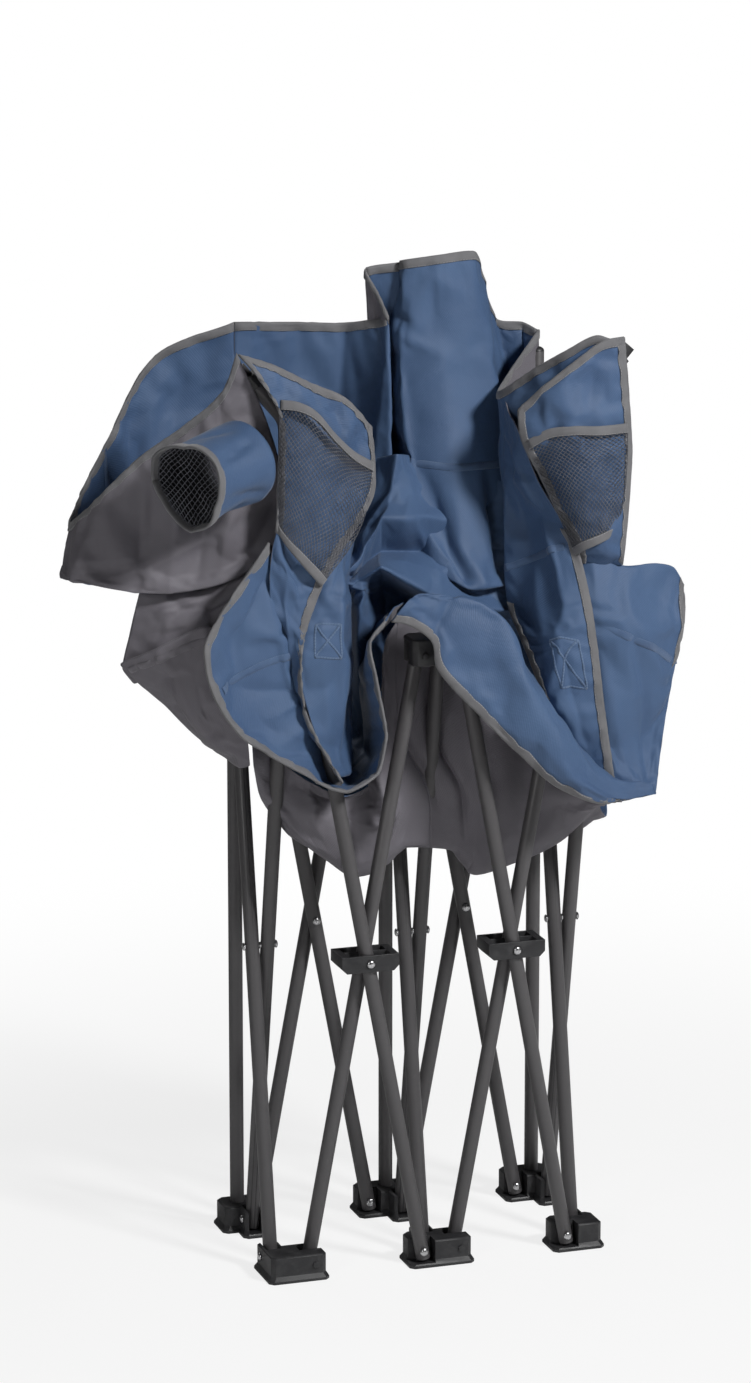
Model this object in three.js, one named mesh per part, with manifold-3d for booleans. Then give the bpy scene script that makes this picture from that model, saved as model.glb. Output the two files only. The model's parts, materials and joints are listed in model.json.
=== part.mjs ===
// A folding camping loveseat, stood up and almost folded: crossing tubes in three stands,
// with the seat, back and arm cloth gathered between them.
// The origin is on the ground at the front middle foot. X runs to the right, Y to the rear, Z up.
// Lengths are in millimetres, angles in degrees.
import * as THREE from "three";
import { mergeVertices } from "three/addons/utils/BufferGeometryUtils.js";
import Module from "manifold-3d";

const wasm = await Module();
wasm.setup();

// Driving dimensions of the frame
const tubeDiameter = 16;
const tubeWall = 1.2;
const pinToPin = 692; // between the end pins of a crossing tube
const restAngle = 10.5; // lean of each crossing tube from upright, as photographed
const pinHeight = 18; // of the lowest pins above the ground
const frontPinHalf = 22; // from a front foot's middle to its pin
const rearPinHalf = 26;
const sidePinBack = 26; // from a row of feet to the pin of a side tube
const layerHalf = 9; // from the middle plane of a crossing to each tube
const postBack = 4; // of an upright behind the middle plane of the rear row
const leftPostTop = 1010;
const centrePostTop = 1080;
const rightPostTop = 990;

// Pins, rivets and clearances
const tubeReach = 10; // of a tube past its end pin
const pinRadius = 2.4;
const pinHoleRadius = 3;
const headRadius = 4;
const headHeight = 2;
const slotGap = 0.5; // between a tube and each side of its slot
const fitGap = 0.3; // between pieces that touch
const overrun = 3; // of every cut past the surface that it opens

// Moulded feet, brackets and sliders
const blockHeight = 30;
const blockHalf = 35; // from the middle to the end that holds a pin
const blockFront = 18;
const blockRear = 22;
const soleThickness = 4.7;
const slotBack = 13.5; // from a pin to the closed side of its slot
const lobeHalf = 12; // of the lug that holds a side tube
const lobeEnd = 16; // of that lug past its pin
const plainEnd = 20; // from the middle to an end that holds no pin
const cornerCut = 5;
const edgeCut = 1.5;
const flangeWidth = 3;
const flangeEdge = 3;
const flangeHeight = 8;
const pinSeat = 5; // of a pin into the wall behind its tube
const collarWall = 3.5;
const collarHeight = 18;

// Hubs where the front tubes cross
const hubHalfWidth = 33;
const hubHeight = 19;
const hubWall = 3;
const hubSlotHalf = 24.3;
const hubCut = 6;

// Arm posts and their clips
const armPostBack = 12; // behind the middle plane of the front row
const armPostTop = 950; // height at which the post starts to bend
const armBendRadius = 30;
const armLean = 41;
const armTipLength = 52;
const clipLength = 12;
const clipWall = 1.6;
const tongueLength = 14;
const tongueHalfWidth = 7;
const tongueThickness = 3;

// Plastic caps in the uprights
const capDome = 5;
const capPlug = 14;

// Cloth
const clothThickness = 2;
const pocketOffset = 2.6; // of a pocket in front of the panel that carries it
const cupRadius = 41;
const cupDepth = 92;
const cupWall = 2;

const tubeRadius = tubeDiameter / 2;
const lean = THREE.MathUtils.degToRad(restAngle);
const span = pinToPin * Math.sin(lean);
const rise = pinToPin * Math.cos(lean);
const topPin = pinHeight + rise;
const crossHeight = pinHeight + rise / 2;
const frontPitch = span + 2 * frontPinHalf;
const rearPitch = span + 2 * rearPinHalf;
const rowDepth = span + 2 * sidePinBack;
const postY = rowDepth + postBack;
const postFootHeight = soleThickness + fitGap;
const slotHalf = tubeRadius + slotGap;
const boreRadius = tubeRadius - tubeWall;

const roundSides = 10;
const boreSides = 6;
const pinSides = 6;
const socketRadius = (tubeRadius + fitGap) / Math.cos(Math.PI / roundSides);
const xAxis = new THREE.Vector3(1, 0, 0);
const yAxis = new THREE.Vector3(0, 1, 0);
const zAxis = new THREE.Vector3(0, 0, 1);
const point = (x, y, z) => new THREE.Vector3(x, y, z);

const powderCoat = new THREE.MeshStandardMaterial({ color: 0x4a494b, roughness: 0.45, metalness: 0.5 });
const blackPlastic = new THREE.MeshStandardMaterial({ color: 0x2b2b2d, roughness: 0.5, metalness: 0 });
const rivetSteel = new THREE.MeshStandardMaterial({ color: 0xc9c9cb, roughness: 0.25, metalness: 1 });
const blueCloth = new THREE.MeshStandardMaterial({ color: 0x3c5679, roughness: 0.9, metalness: 0 });
const greyCloth = new THREE.MeshStandardMaterial({ color: 0x55535a, roughness: 0.9, metalness: 0 });
const meshCloth = new THREE.MeshStandardMaterial({ color: 0x34373f, roughness: 0.95, metalness: 0 });

// A closed surface from its corners and triangles, turned outwards if it was wound inwards.
function surfaceSolid(corners, triangles) {
  const geometry = new THREE.BufferGeometry().setFromPoints(corners);
  geometry.setIndex(triangles.flat());
  return solid(geometry);
}

function signedVolume(positions, index) {
  const [a, b, c] = [point(0, 0, 0), point(0, 0, 0), point(0, 0, 0)];
  let sum = 0;
  for (let i = 0; i < index.length; i += 3) {
    a.fromArray(positions, 3 * index[i]);
    b.fromArray(positions, 3 * index[i + 1]);
    c.fromArray(positions, 3 * index[i + 2]);
    sum += a.dot(b.cross(c));
  }
  return sum;
}

function solid(geometry) {
  const bare = geometry.clone();
  bare.deleteAttribute("normal");
  bare.deleteAttribute("uv");
  const merged = mergeVertices(bare);
  const vertProperties = new Float32Array(merged.attributes.position.array);
  const triVerts = new Uint32Array(merged.index.array);
  if (signedVolume(vertProperties, triVerts) < 0) triVerts.reverse();
  return new wasm.Manifold(new wasm.Mesh({ numProp: 3, vertProperties, triVerts }));
}

function largestPiece(shape) {
  const pieces = shape.decompose();
  return pieces.reduce((best, piece) => (piece.volume() > best.volume() ? piece : best));
}

function joined(shapes) {
  return shapes.reduce((sum, shape) => sum.add(shape));
}

function box([x0, x1], [y0, y1], [z0, z1]) {
  const geometry = new THREE.BoxGeometry(Math.abs(x1 - x0), Math.abs(y1 - y0), Math.abs(z1 - z0));
  return solid(geometry.translate((x0 + x1) / 2, (y0 + y1) / 2, (z0 + z1) / 2));
}

function rod(from, to, radius, sides = roundSides) {
  const along = to.clone().sub(from);
  const geometry = new THREE.CylinderGeometry(radius, radius, along.length(), sides);
  geometry.applyQuaternion(new THREE.Quaternion().setFromUnitVectors(yAxis, along.normalize()));
  const middle = from.clone().add(to).multiplyScalar(1 / 2);
  return solid(geometry.translate(middle.x, middle.y, middle.z));
}

// Rings of equal point counts joined in order, with a flat fan on each end.
function loft(rings) {
  const count = rings[0].length;
  const triangles = [];
  for (let r = 0; r + 1 < rings.length; r++) {
    for (let i = 0; i < count; i++) {
      const [a, b] = [r * count + i, r * count + ((i + 1) % count)];
      triangles.push([a, b, b + count], [a, b + count, a + count]);
    }
  }
  const last = (rings.length - 1) * count;
  for (let i = 1; i + 1 < count; i++) {
    triangles.push([0, i + 1, i], [last, last + i, last + i + 1]);
  }
  return surfaceSolid(rings.flat(), triangles);
}

function bentRod(path, radius, sides = roundSides) {
  const rings = path.map((here, i) => {
    const before = path[Math.max(i - 1, 0)];
    const after = path[Math.min(i + 1, path.length - 1)];
    const along = after.clone().sub(before).normalize();
    const out = yAxis.clone().cross(along);
    return Array.from({ length: sides }, (_, k) => {
      const turn = (2 * Math.PI * k) / sides;
      return here
        .clone()
        .addScaledVector(out, radius * Math.cos(turn))
        .addScaledVector(yAxis, radius * Math.sin(turn));
    });
  });
  return loft(rings);
}

function pinAlong(centre, axis, radius, from, to) {
  const start = centre.clone().addScaledVector(axis, from);
  const end = centre.clone().addScaledVector(axis, to);
  return rod(start, end, radius, pinSides);
}

const group = new THREE.Group();
const clothKeepOut = [];

function addPiece(name, shape, material) {
  const data = shape.getMesh();
  const geometry = new THREE.BufferGeometry();
  geometry.setAttribute("position", new THREE.BufferAttribute(data.vertProperties, data.numProp));
  geometry.setIndex(new THREE.BufferAttribute(data.triVerts, 1));
  geometry.computeVertexNormals();
  const mesh = new THREE.Mesh(geometry, material);
  mesh.name = name;
  group.add(mesh);
}

// Crossing tubes: each has a pin hole near both ends and one in the middle.
function crossingTube(name, bottom, top, holeAxis) {
  const along = top.clone().sub(bottom).normalize();
  const low = bottom.clone().addScaledVector(along, -tubeReach);
  const high = top.clone().addScaledVector(along, tubeReach);
  const boreLow = low.clone().addScaledVector(along, -overrun);
  const boreHigh = high.clone().addScaledVector(along, overrun);
  const middle = bottom.clone().add(top).multiplyScalar(1 / 2);
  const reach = tubeRadius + overrun;
  const cuts = [bottom, middle, top].map((pin) => pinAlong(pin, holeAxis, pinHoleRadius, -reach, reach));
  const shape = rod(low, high, tubeRadius)
    .subtract(rod(boreLow, boreHigh, boreRadius, boreSides))
    .subtract(joined(cuts));
  addPiece(name, shape, powderCoat);
  clothKeepOut.push(rod(low, high, tubeRadius + fitGap));
}

// Front and rear rows: the pair on each side leans apart and together between the feet.
function rowOfTubes(row, y, pinHalf, pitch) {
  for (const [side, sign] of [["left", -1], ["right", 1]]) {
    const inner = sign * pinHalf;
    const outer = sign * (pitch - pinHalf);
    const outwardY = y + sign * layerHalf;
    const inwardY = y - sign * layerHalf;
    const outward = [point(inner, outwardY, pinHeight), point(outer, outwardY, topPin)];
    const inward = [point(outer, inwardY, pinHeight), point(inner, inwardY, topPin)];
    crossingTube(`${row}_${side}_tube_outward`, ...outward, yAxis);
    crossingTube(`${row}_${side}_tube_inward`, ...inward, yAxis);
  }
}

// Side pairs: one tube from the front foot to the rear slider, one from the rear foot to the front bracket.
function sideTubes(side, x) {
  const front = sidePinBack;
  const rear = rowDepth - sidePinBack;
  const [left, right] = [x - layerHalf, x + layerHalf];
  crossingTube(`${side}_side_tube_front_foot`, point(left, front, pinHeight), point(left, rear, topPin), xAxis);
  crossingTube(`${side}_side_tube_rear_foot`, point(right, rear, pinHeight), point(right, front, topPin), xAxis);
}

// An eight-cornered outline of a rectangle, larger all round by grow.
function cutRectangle([x0, x1], [y0, y1], grow) {
  const [left, right, front, rear] = [x0 - grow, x1 + grow, y0 - grow, y1 + grow];
  return [
    [left + cornerCut, front], [right - cornerCut, front],
    [right, front + cornerCut], [right, rear - cornerCut],
    [right - cornerCut, rear], [left + cornerCut, rear],
    [left, rear - cornerCut], [left, front + cornerCut],
  ];
}

const footLevels = [
  [0, flangeWidth],
  [flangeEdge, flangeWidth],
  [flangeHeight, 0],
  [blockHeight - edgeCut, 0],
  [blockHeight, -edgeCut],
];
const hangingLevels = [
  [0, -edgeCut],
  [edgeCut, 0],
  [blockHeight - edgeCut, 0],
  [blockHeight, -edgeCut],
];

// A moulded block that holds up to two row tubes, one side tube and an upright. A foot has its
// sole on the ground; a hanging block is the same shape upside down at the top pins.
function pinBlock(name, { x, y, facing, hanging, pins, side, through, socket, collar }) {
  const level = (z) => (hanging ? topPin + pinHeight - z : z);
  const levels = hanging ? hangingLevels : footLevels;
  const hasPin = (sign) => pins.some((pin) => Math.sign(pin.x) === sign);
  const end = (sign) => (hasPin(sign) ? blockHalf : Math.max(plainEnd, sign * side + lobeHalf));
  const barX = [x - end(-1), x + end(1)];
  const barY = [y - blockFront, y + blockRear];
  const lobeX = [x + side - lobeHalf, x + side + lobeHalf];
  const lobeFar = y + facing * (sidePinBack + lobeEnd);
  const lobeY = facing > 0 ? [y, lobeFar] : [lobeFar, y];
  const stack = (rangeX, rangeY) =>
    loft(levels.map(([z, grow]) => cutRectangle(rangeX, rangeY, grow).map(([u, v]) => point(u, v, level(z)))));
  const tall = [level(soleThickness), level(blockHeight + overrun)];
  let shape = stack(barX, barY).add(stack(lobeX, lobeY));
  clothKeepOut.push(blockEnvelope(barX, barY, lobeX, lobeY, level));

  const solids = [];
  for (const pin of pins) {
    const sign = Math.sign(pin.x);
    const plane = y + pin.layer * layerHalf;
    const open = sign * (blockHalf + flangeWidth + overrun);
    const front = pin.layer < 0 ? y - blockFront - flangeWidth - overrun : plane - slotHalf;
    shape = shape.subtract(box([x + pin.x - sign * slotBack, x + open], [front, plane + slotHalf], tall));
    const centre = point(x + pin.x, plane, level(pinHeight));
    const face = pin.layer < 0 ? tubeRadius + fitGap : plane - (y - blockFront);
    solids.push(pinAlong(centre, yAxis, pinRadius, -face - headHeight / 2, slotHalf + pinSeat));
    solids.push(pinAlong(centre, yAxis, headRadius, -face - headHeight, -face));
  }

  const sideX = x + side;
  const sideY = y + facing * sidePinBack;
  const sideOpen = sideY + facing * (lobeEnd + flangeWidth + overrun);
  shape = shape.subtract(
    box([sideX - slotHalf, sideX + slotHalf], [sideY - facing * slotBack, sideOpen], tall),
  );
  const sideCentre = point(sideX, sideY, level(pinHeight));
  const headSign = Math.sign(side);
  const headAxis = xAxis.clone().multiplyScalar(headSign);
  solids.push(pinAlong(sideCentre, headAxis, pinRadius, -lobeHalf + collarWall / 2, lobeHalf + headHeight / 2));
  solids.push(pinAlong(sideCentre, headAxis, headRadius, lobeHalf, lobeHalf + headHeight));

  const post = point(x, y + postBack, 0);
  const column = (radius, low, high) => rod(point(post.x, post.y, low), point(post.x, post.y, high), radius);
  if (socket) shape = shape.subtract(column(socketRadius, soleThickness, blockHeight + overrun));
  if (through) shape = shape.subtract(column(socketRadius, level(-overrun), level(blockHeight + overrun)));
  if (collar) {
    const centre = (z) => point(x, y + armPostBack, level(z));
    const ring = rod(centre(soleThickness / 2), centre(-collarHeight), socketRadius + collarWall);
    shape = shape.add(ring).subtract(rod(centre(0), centre(-collarHeight - overrun), socketRadius));
    clothKeepOut.push(rod(centre(0), centre(-collarHeight - fitGap), socketRadius + collarWall + fitGap));
  }
  addPiece(name, joined([shape, ...solids]), blackPlastic);
}

function blockEnvelope(barX, barY, lobeX, lobeY, level) {
  const grown = ([low, high], by) => [low - by, high + by];
  const room = headHeight + fitGap;
  const tall = [level(-fitGap), level(blockHeight + fitGap)];
  return box(grown(barX, fitGap), grown(barY, room), tall).add(box(grown(lobeX, room), grown(lobeY, fitGap), tall));
}

const rightward = (half, layer) => ({ x: half, layer });
const leftward = (half, layer) => ({ x: -half, layer });

function feet() {
  const front = { y: 0, facing: 1 };
  const rear = { y: rowDepth, facing: -1, socket: true };
  const sideFront = (x) => x - layerHalf;
  const shift = rearPitch - frontPitch;
  const [near, far] = [frontPinHalf, rearPinHalf];
  pinBlock("front_left_foot", { ...front, x: -frontPitch, pins: [rightward(near, 1)], side: sideFront(-shift) });
  pinBlock("front_centre_foot", {
    ...front, x: 0, pins: [leftward(near, -1), rightward(near, 1)], side: sideFront(0),
  });
  pinBlock("front_right_foot", { ...front, x: frontPitch, pins: [leftward(near, -1)], side: sideFront(shift) });
  pinBlock("rear_left_foot", { ...rear, x: -rearPitch, pins: [rightward(far, 1)], side: layerHalf });
  pinBlock("rear_centre_foot", {
    ...rear, x: 0, pins: [leftward(far, -1), rightward(far, 1)], side: layerHalf,
  });
  pinBlock("rear_right_foot", { ...rear, x: rearPitch, pins: [leftward(far, -1)], side: layerHalf });
}

function bracketsAndSliders() {
  const front = { y: 0, facing: 1, hanging: true };
  const rear = { y: rowDepth, facing: -1, hanging: true, through: true, side: -layerHalf };
  const shift = rearPitch - frontPitch;
  const [near, far] = [frontPinHalf, rearPinHalf];
  pinBlock("front_left_bracket", {
    ...front, x: -frontPitch, pins: [rightward(near, -1)], side: layerHalf - shift, collar: true,
  });
  pinBlock("front_centre_bracket", {
    ...front, x: 0, pins: [leftward(near, 1), rightward(near, -1)], side: layerHalf,
  });
  pinBlock("front_right_bracket", {
    ...front, x: frontPitch, pins: [leftward(near, 1)], side: layerHalf + shift, collar: true,
  });
  pinBlock("rear_left_slider", { ...rear, x: -rearPitch, pins: [rightward(far, -1)] });
  pinBlock("rear_centre_slider", { ...rear, x: 0, pins: [leftward(far, 1), rightward(far, -1)] });
  pinBlock("rear_right_slider", { ...rear, x: rearPitch, pins: [leftward(far, 1)] });
}

// A plastic hub with a slot for each of the two tubes that cross in it.
function crossingHub(side, x) {
  const half = layerHalf + slotHalf + hubWall;
  const [left, right] = [x - hubHalfWidth, x + hubHalfWidth];
  const [low, high] = [crossHeight - hubHeight / 2, crossHeight + hubHeight / 2];
  const outline = [
    [left + hubCut, low], [right - hubCut, low], [right, low + hubCut],
    [right, high], [left, high], [left, low + hubCut],
  ];
  const ring = (y) => outline.map(([u, v]) => point(u, y, v));
  let shape = loft([ring(-half), ring(half)]);
  for (const layer of [-1, 1]) {
    const slotY = [layer * layerHalf - slotHalf, layer * layerHalf + slotHalf];
    shape = shape.subtract(box([x - hubSlotHalf, x + hubSlotHalf], slotY, [low - overrun, high + overrun]));
  }
  const centre = point(x, 0, crossHeight);
  shape = shape.subtract(pinAlong(centre, yAxis, pinHoleRadius, -half - overrun, half + overrun));
  addPiece(`front_${side}_hub`, shape, blackPlastic);
  crossingRivet(`front_${side}_hub_rivet`, centre, yAxis, half + fitGap, 0);
}

// A rivet through two crossing tubes, with a spacer between them where no hub keeps them apart.
function crossingRivet(name, centre, axis, headFace, spacerHalf) {
  const parts = [pinAlong(centre, axis, pinRadius, -headFace - headHeight / 2, headFace + headHeight / 2)];
  for (const [from, to] of [[-headFace - headHeight, -headFace], [headFace, headFace + headHeight]]) {
    parts.push(pinAlong(centre, axis, headRadius, from, to));
  }
  if (spacerHalf > 0) parts.push(pinAlong(centre, axis, headRadius, -spacerHalf, spacerHalf));
  addPiece(name, joined(parts), rivetSteel);
}

function bareCrossingRivets() {
  const face = layerHalf + tubeRadius + fitGap;
  const spacer = layerHalf - tubeRadius - fitGap;
  const across = rearPitch / 2;
  crossingRivet("rear_left_cross_rivet", point(-across, rowDepth, crossHeight), yAxis, face, spacer);
  crossingRivet("rear_right_cross_rivet", point(across, rowDepth, crossHeight), yAxis, face, spacer);
  crossingRivet("left_side_cross_rivet", point(-rearPitch, rowDepth / 2, crossHeight), xAxis, face, spacer);
  crossingRivet("centre_side_cross_rivet", point(0, rowDepth / 2, crossHeight), xAxis, face, spacer);
  crossingRivet("right_side_cross_rivet", point(rearPitch, rowDepth / 2, crossHeight), xAxis, face, spacer);
}

// An upright tube of the rear row and the plug that closes it.
function upright(side, x, top) {
  const at = (z) => point(x, postY, z);
  const bore = rod(at(postFootHeight - overrun), at(top + overrun), boreRadius, boreSides);
  addPiece(`${side}_post`, rod(at(postFootHeight), at(top), tubeRadius).subtract(bore), powderCoat);
  const plugRadius = (boreRadius - fitGap) * Math.cos(Math.PI / boreSides);
  const profile = [
    [0, -capPlug], [plugRadius, -capPlug], [plugRadius, fitGap], [tubeRadius, fitGap],
    [tubeRadius, capDome / 2], [tubeRadius / 2, capDome], [0, capDome],
  ].map(([r, z]) => new THREE.Vector2(r, z));
  const cap = new THREE.LatheGeometry(profile, roundSides).rotateX(Math.PI / 2).translate(x, postY, top);
  addPiece(`${side}_post_cap`, solid(cap), blackPlastic);
  clothKeepOut.push(rod(at(postFootHeight), at(top + capDome + fitGap), tubeRadius + fitGap));
}

// An arm post rises from a front bracket and bends outwards to the corner of the arm cloth.
function armPost(side, sign) {
  const x = sign * frontPitch;
  const turn = THREE.MathUtils.degToRad(armLean);
  const bendCentre = x + sign * armBendRadius;
  const seat = topPin + pinHeight + fitGap;
  const path = [point(x, armPostBack, seat)];
  const bendSteps = 4;
  for (let i = 0; i <= bendSteps; i++) {
    const angle = (turn * i) / bendSteps;
    const dx = -sign * armBendRadius * Math.cos(angle);
    path.push(point(bendCentre + dx, armPostBack, armPostTop + armBendRadius * Math.sin(angle)));
  }
  const away = point(sign * Math.sin(turn), 0, Math.cos(turn));
  const tip = path.at(-1).clone().addScaledVector(away, armTipLength);
  path.push(tip);
  addPiece(`${side}_arm_post`, bentRod(path, tubeRadius), powderCoat);
  clothKeepOut.push(bentRod(path, tubeRadius + fitGap));
  armClip(side, tip, away);
}

// The clip caps the end of the arm post, with a cross pin and a tongue that the arm cloth hangs on.
function armClip(side, tip, away) {
  const along = (distance) => tip.clone().addScaledVector(away, distance);
  const radius = socketRadius + clipWall;
  const cup = rod(along(-clipLength), along(clipWall + fitGap), radius)
    .subtract(rod(along(-clipLength - overrun), along(fitGap), socketRadius));
  const pinLine = along(clipWall + fitGap + pinRadius / 2);
  const crossPin = pinAlong(pinLine, yAxis, pinRadius, -radius - headHeight, radius + headHeight);
  const turn = new THREE.Quaternion().setFromUnitVectors(zAxis, away);
  const tongue = new THREE.BoxGeometry(2 * tongueHalfWidth, tongueThickness, tongueLength);
  const middle = along(clipWall + tongueLength / 2);
  tongue.applyQuaternion(turn).translate(middle.x, middle.y, middle.z);
  addPiece(`${side}_arm_clip`, joined([cup, crossPin, solid(tongue)]), rivetSteel);
  clothKeepOut.push(rod(along(-clipLength - fitGap), along(tongueLength + clipWall), radius + headHeight));
}

// The photograph's camera, worked out from where the feet and the posts stand in it.
const photoMiddle = [375.5, 691.5]; // pixels
const photoFocal = 5150; // pixels
const photoTurn = THREE.MathUtils.degToRad(-18.5);
const photoRise = THREE.MathUtils.degToRad(13.5);
const photoAim = point(0, 0, 500); // the camera's place is counted from here
const photoAside = 69.13;
const photoDown = 149.36;
const photoAway = 5639.54;
const photoLengths = [178.107, 178.107, 698.412]; // rear pitch, row depth, top pins as photographed
const toCamera = point(
  Math.sin(photoTurn) * Math.cos(photoRise),
  -Math.cos(photoTurn) * Math.cos(photoRise),
  Math.sin(photoRise),
);
const photoRight = point(Math.cos(photoTurn), Math.sin(photoTurn), 0);
const photoUp = toCamera.clone().cross(photoRight);
const camera = photoAim.clone()
  .addScaledVector(photoRight, -photoAside)
  .addScaledVector(photoUp, photoDown)
  .addScaledVector(toCamera, photoAway);

// What the photograph shows at a pixel, when it lies depth mm back, as shares of photoLengths.
function sharesSeen([x, y, depth]) {
  const sight = photoRight.clone().multiplyScalar((x - photoMiddle[0]) / photoFocal)
    .addScaledVector(photoUp, (photoMiddle[1] - y) / photoFocal)
    .sub(toCamera);
  const seen = camera.clone().addScaledVector(sight, (depth - camera.y) / sight.y);
  return seen.toArray().map((value, axis) => value / photoLengths[axis]);
}

// A point that belongs to the frame, as shares of the rear pitch, the row depth and the top pins.
const tied = (across, back, up) => ({ shares: [across, back, up] });

// Cloth sheets, as rows of points along the folds that the cloth hangs in. A plain point was read
// by eye off the photograph: across and down in its pixels, then how far back the cloth lies, in mm.
const backLeftPoints = [
  [tied(-1, 1.02, 1.49), [295, 323, 192], [344, 324, 189], [375, 320, 166], [388, 318, 150],
    [378, 295, 172], tied(-0.01, 1.02, 1.56)],
  [tied(-1, 1.02, 1.375), [292, 388, 198], [340, 390, 192], [372, 390, 160], [387, 389, 141],
    [378, 380, 168], tied(-0.01, 1.02, 1.395)],
  [tied(-1, 1.02, 1.23), [289, 480, 205], [335, 480, 192], [367, 478, 155], [386, 478, 132],
    [378, 475, 162], tied(-0.01, 1.02, 1.23)],
  [tied(-1, 1.02, 1.075), [289, 574, 199], [330, 574, 185], [361, 575, 150], [380, 575, 128],
    [376, 572, 155], tied(-0.01, 1.02, 1.08)],
];
const backRightPoints = [
  [tied(0.01, 1.01, 1.58), [402, 261, 150], [438, 256, 138], [474, 252, 148], [480, 268, 180],
    [497, 320, 202], [522, 323, 200], tied(1, 1.02, 1.45)],
  [tied(0.01, 1, 1.43), [404, 350, 140], [445, 350, 122], [491, 350, 138], [494, 352, 175],
    [508, 372, 202], [525, 372, 202], tied(1, 1.02, 1.36)],
  [tied(0.01, 0.99, 1.275), [412, 440, 122], [455, 445, 98], [505, 440, 120], [506, 440, 165],
    [514, 450, 200], [528, 450, 205], tied(1, 1.02, 1.23)],
  [tied(0.01, 0.97, 1.145), [425, 515, 100], [462, 520, 72], [507, 515, 95], [509, 515, 150],
    [516, 520, 190], [530, 520, 200], tied(1, 1.02, 1.115)],
  [tied(0.02, 0.95, 1.045), [440, 575, 75], [470, 590, 50], [508, 585, 70], [511, 580, 125],
    [518, 580, 165], [530, 580, 185], tied(1, 1.02, 1.05)],
];
const armLeftPoints = [
  [tied(-1.01, 1.02, 1.49), [155, 357, 178], [108, 440, 150], [75, 508, 112], [70, 523, 88],
    [80, 516, 62], [141, 457, 32], [182, 428, 16], [222, 393, 4], [237, 354, -4]],
  [tied(-1.01, 1.02, 1.36), [158, 430, 182], [115, 490, 155], [72, 535, 108], [66, 545, 85],
    [74, 545, 62], [140, 510, 32], [185, 480, 20], [228, 450, 10], [252, 425, 2]],
  [tied(-1.01, 1.02, 1.23), [165, 500, 180], [120, 540, 150], [68, 560, 100], [61, 566, 80],
    [70, 570, 55], [140, 555, 28], [188, 540, 18], [232, 520, 10], [262, 490, 4]],
  [tied(-1.01, 1.02, 1.13), [170, 560, 176], [125, 575, 140], [68, 575, 95], [61, 578, 75],
    [72, 581, 50], [139, 593, 25], [185, 592, 14], [232, 580, 6], [266, 545, 0]],
];
const armRightPoints = [
  [tied(1.01, 1.02, 1.45), [505, 380, 120], [500, 392, 84], [530, 372, 48], [565, 352, 20],
    tied(1.02, 0.04, 1.48), tied(1.1, 0.02, 1.475)],
  [tied(1.01, 1.02, 1.345), [508, 420, 110], [503, 432, 82], [535, 425, 46], tied(0.89, 0.14, 1.355),
    tied(1.08, 0.1, 1.37), tied(1.22, 0.06, 1.38)],
  [tied(1.01, 1.02, 1.23), [512, 480, 105], [510, 490, 80], [545, 490, 46], tied(0.96, 0.15, 1.24),
    tied(1.13, 0.12, 1.25), tied(1.25, 0.08, 1.265)],
  [tied(1.01, 1.02, 1.13), [518, 540, 100], [520, 550, 76], [555, 550, 46], tied(1.02, 0.17, 1.14),
    tied(1.14, 0.12, 1.14), tied(1.21, 0.08, 1.13)],
];
const sideLeftPoints = [
  [tied(-1.86, 0.14, 1.122), tied(-1.65, 0.1, 1.124), tied(-1.42, 0.05, 1.137),
    tied(-1.15, 0.01, 1.184)],
  [tied(-1.89, 0.19, 1.055), [165, 622, 0], [205, 612, -18], tied(-1.26, -0.08, 1.11)],
  [[120, 665, 45], [158, 650, 5], tied(-1.58, -0.08, 1.05), tied(-1.3, -0.06, 1.04)],
  [[165, 706, 52], tied(-1.58, 0.1, 0.945), tied(-1.48, -0.02, 0.95), [242, 706, -4]],
  [[215, 750, 62], tied(-1.3, 0.2, 0.845), tied(-1.24, 0.1, 0.835), [260, 774, 4]],
];
const seatLeftPoints = [
  [[269, 543, -18], [205, 646, -55], [215, 698, -62], [243, 738, -60], [295, 770, -54],
    [345, 792, -46], [377, 775, -39], [386, 736, -37], [376, 680, -36], [370, 642, -34],
    [386, 621, -32]],
  [[285, 560, -4], [240, 640, -26], [250, 690, -30], [270, 722, -28], [308, 750, -22], [345, 765, -16],
    [368, 750, -14], [374, 715, -12], [368, 670, -12], [370, 635, -12], [392, 610, -14]],
  [[300, 575, 12], [275, 632, 4], [285, 675, 2], [300, 700, 4], [322, 720, 8], [345, 730, 12],
    [360, 718, 14], [362, 690, 14], [360, 655, 12], [370, 628, 8], [398, 606, 4]],
  [[315, 590, 30], [308, 620, 30], [315, 650, 30], [322, 668, 32], [335, 680, 36], [346, 684, 40],
    [352, 675, 40], [354, 660, 40], [356, 640, 36], [372, 620, 30], [404, 602, 22]],
];
const seatRightPoints = [
  [[392, 621, -30], [408, 624, -30], [432, 641, -32], [438, 668, -36], [480, 715, -46],
    [520, 754, -54], [560, 788, -60], [600, 802, -62], [650, 797, -52]],
  [[402, 608, -34], [420, 605, -34], [448, 618, -38], [470, 640, -44], [505, 690, -54],
    [540, 735, -62], [575, 772, -66], [610, 792, -64], tied(1.26, -0.29, 0.76)],
  [[412, 598, -26], [428, 592, -26], [460, 596, -28], [500, 619, -34], [530, 665, -44],
    [558, 710, -52], [585, 750, -58], [612, 779, -58], tied(1.24, -0.28, 0.77)],
  [[420, 604, -2], [434, 598, -2], [464, 602, -4], [500, 628, -8], [530, 672, -14], [558, 716, -20],
    [585, 756, -26], tied(1.05, -0.18, 0.785), tied(1.22, -0.22, 0.775)],
];
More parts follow.
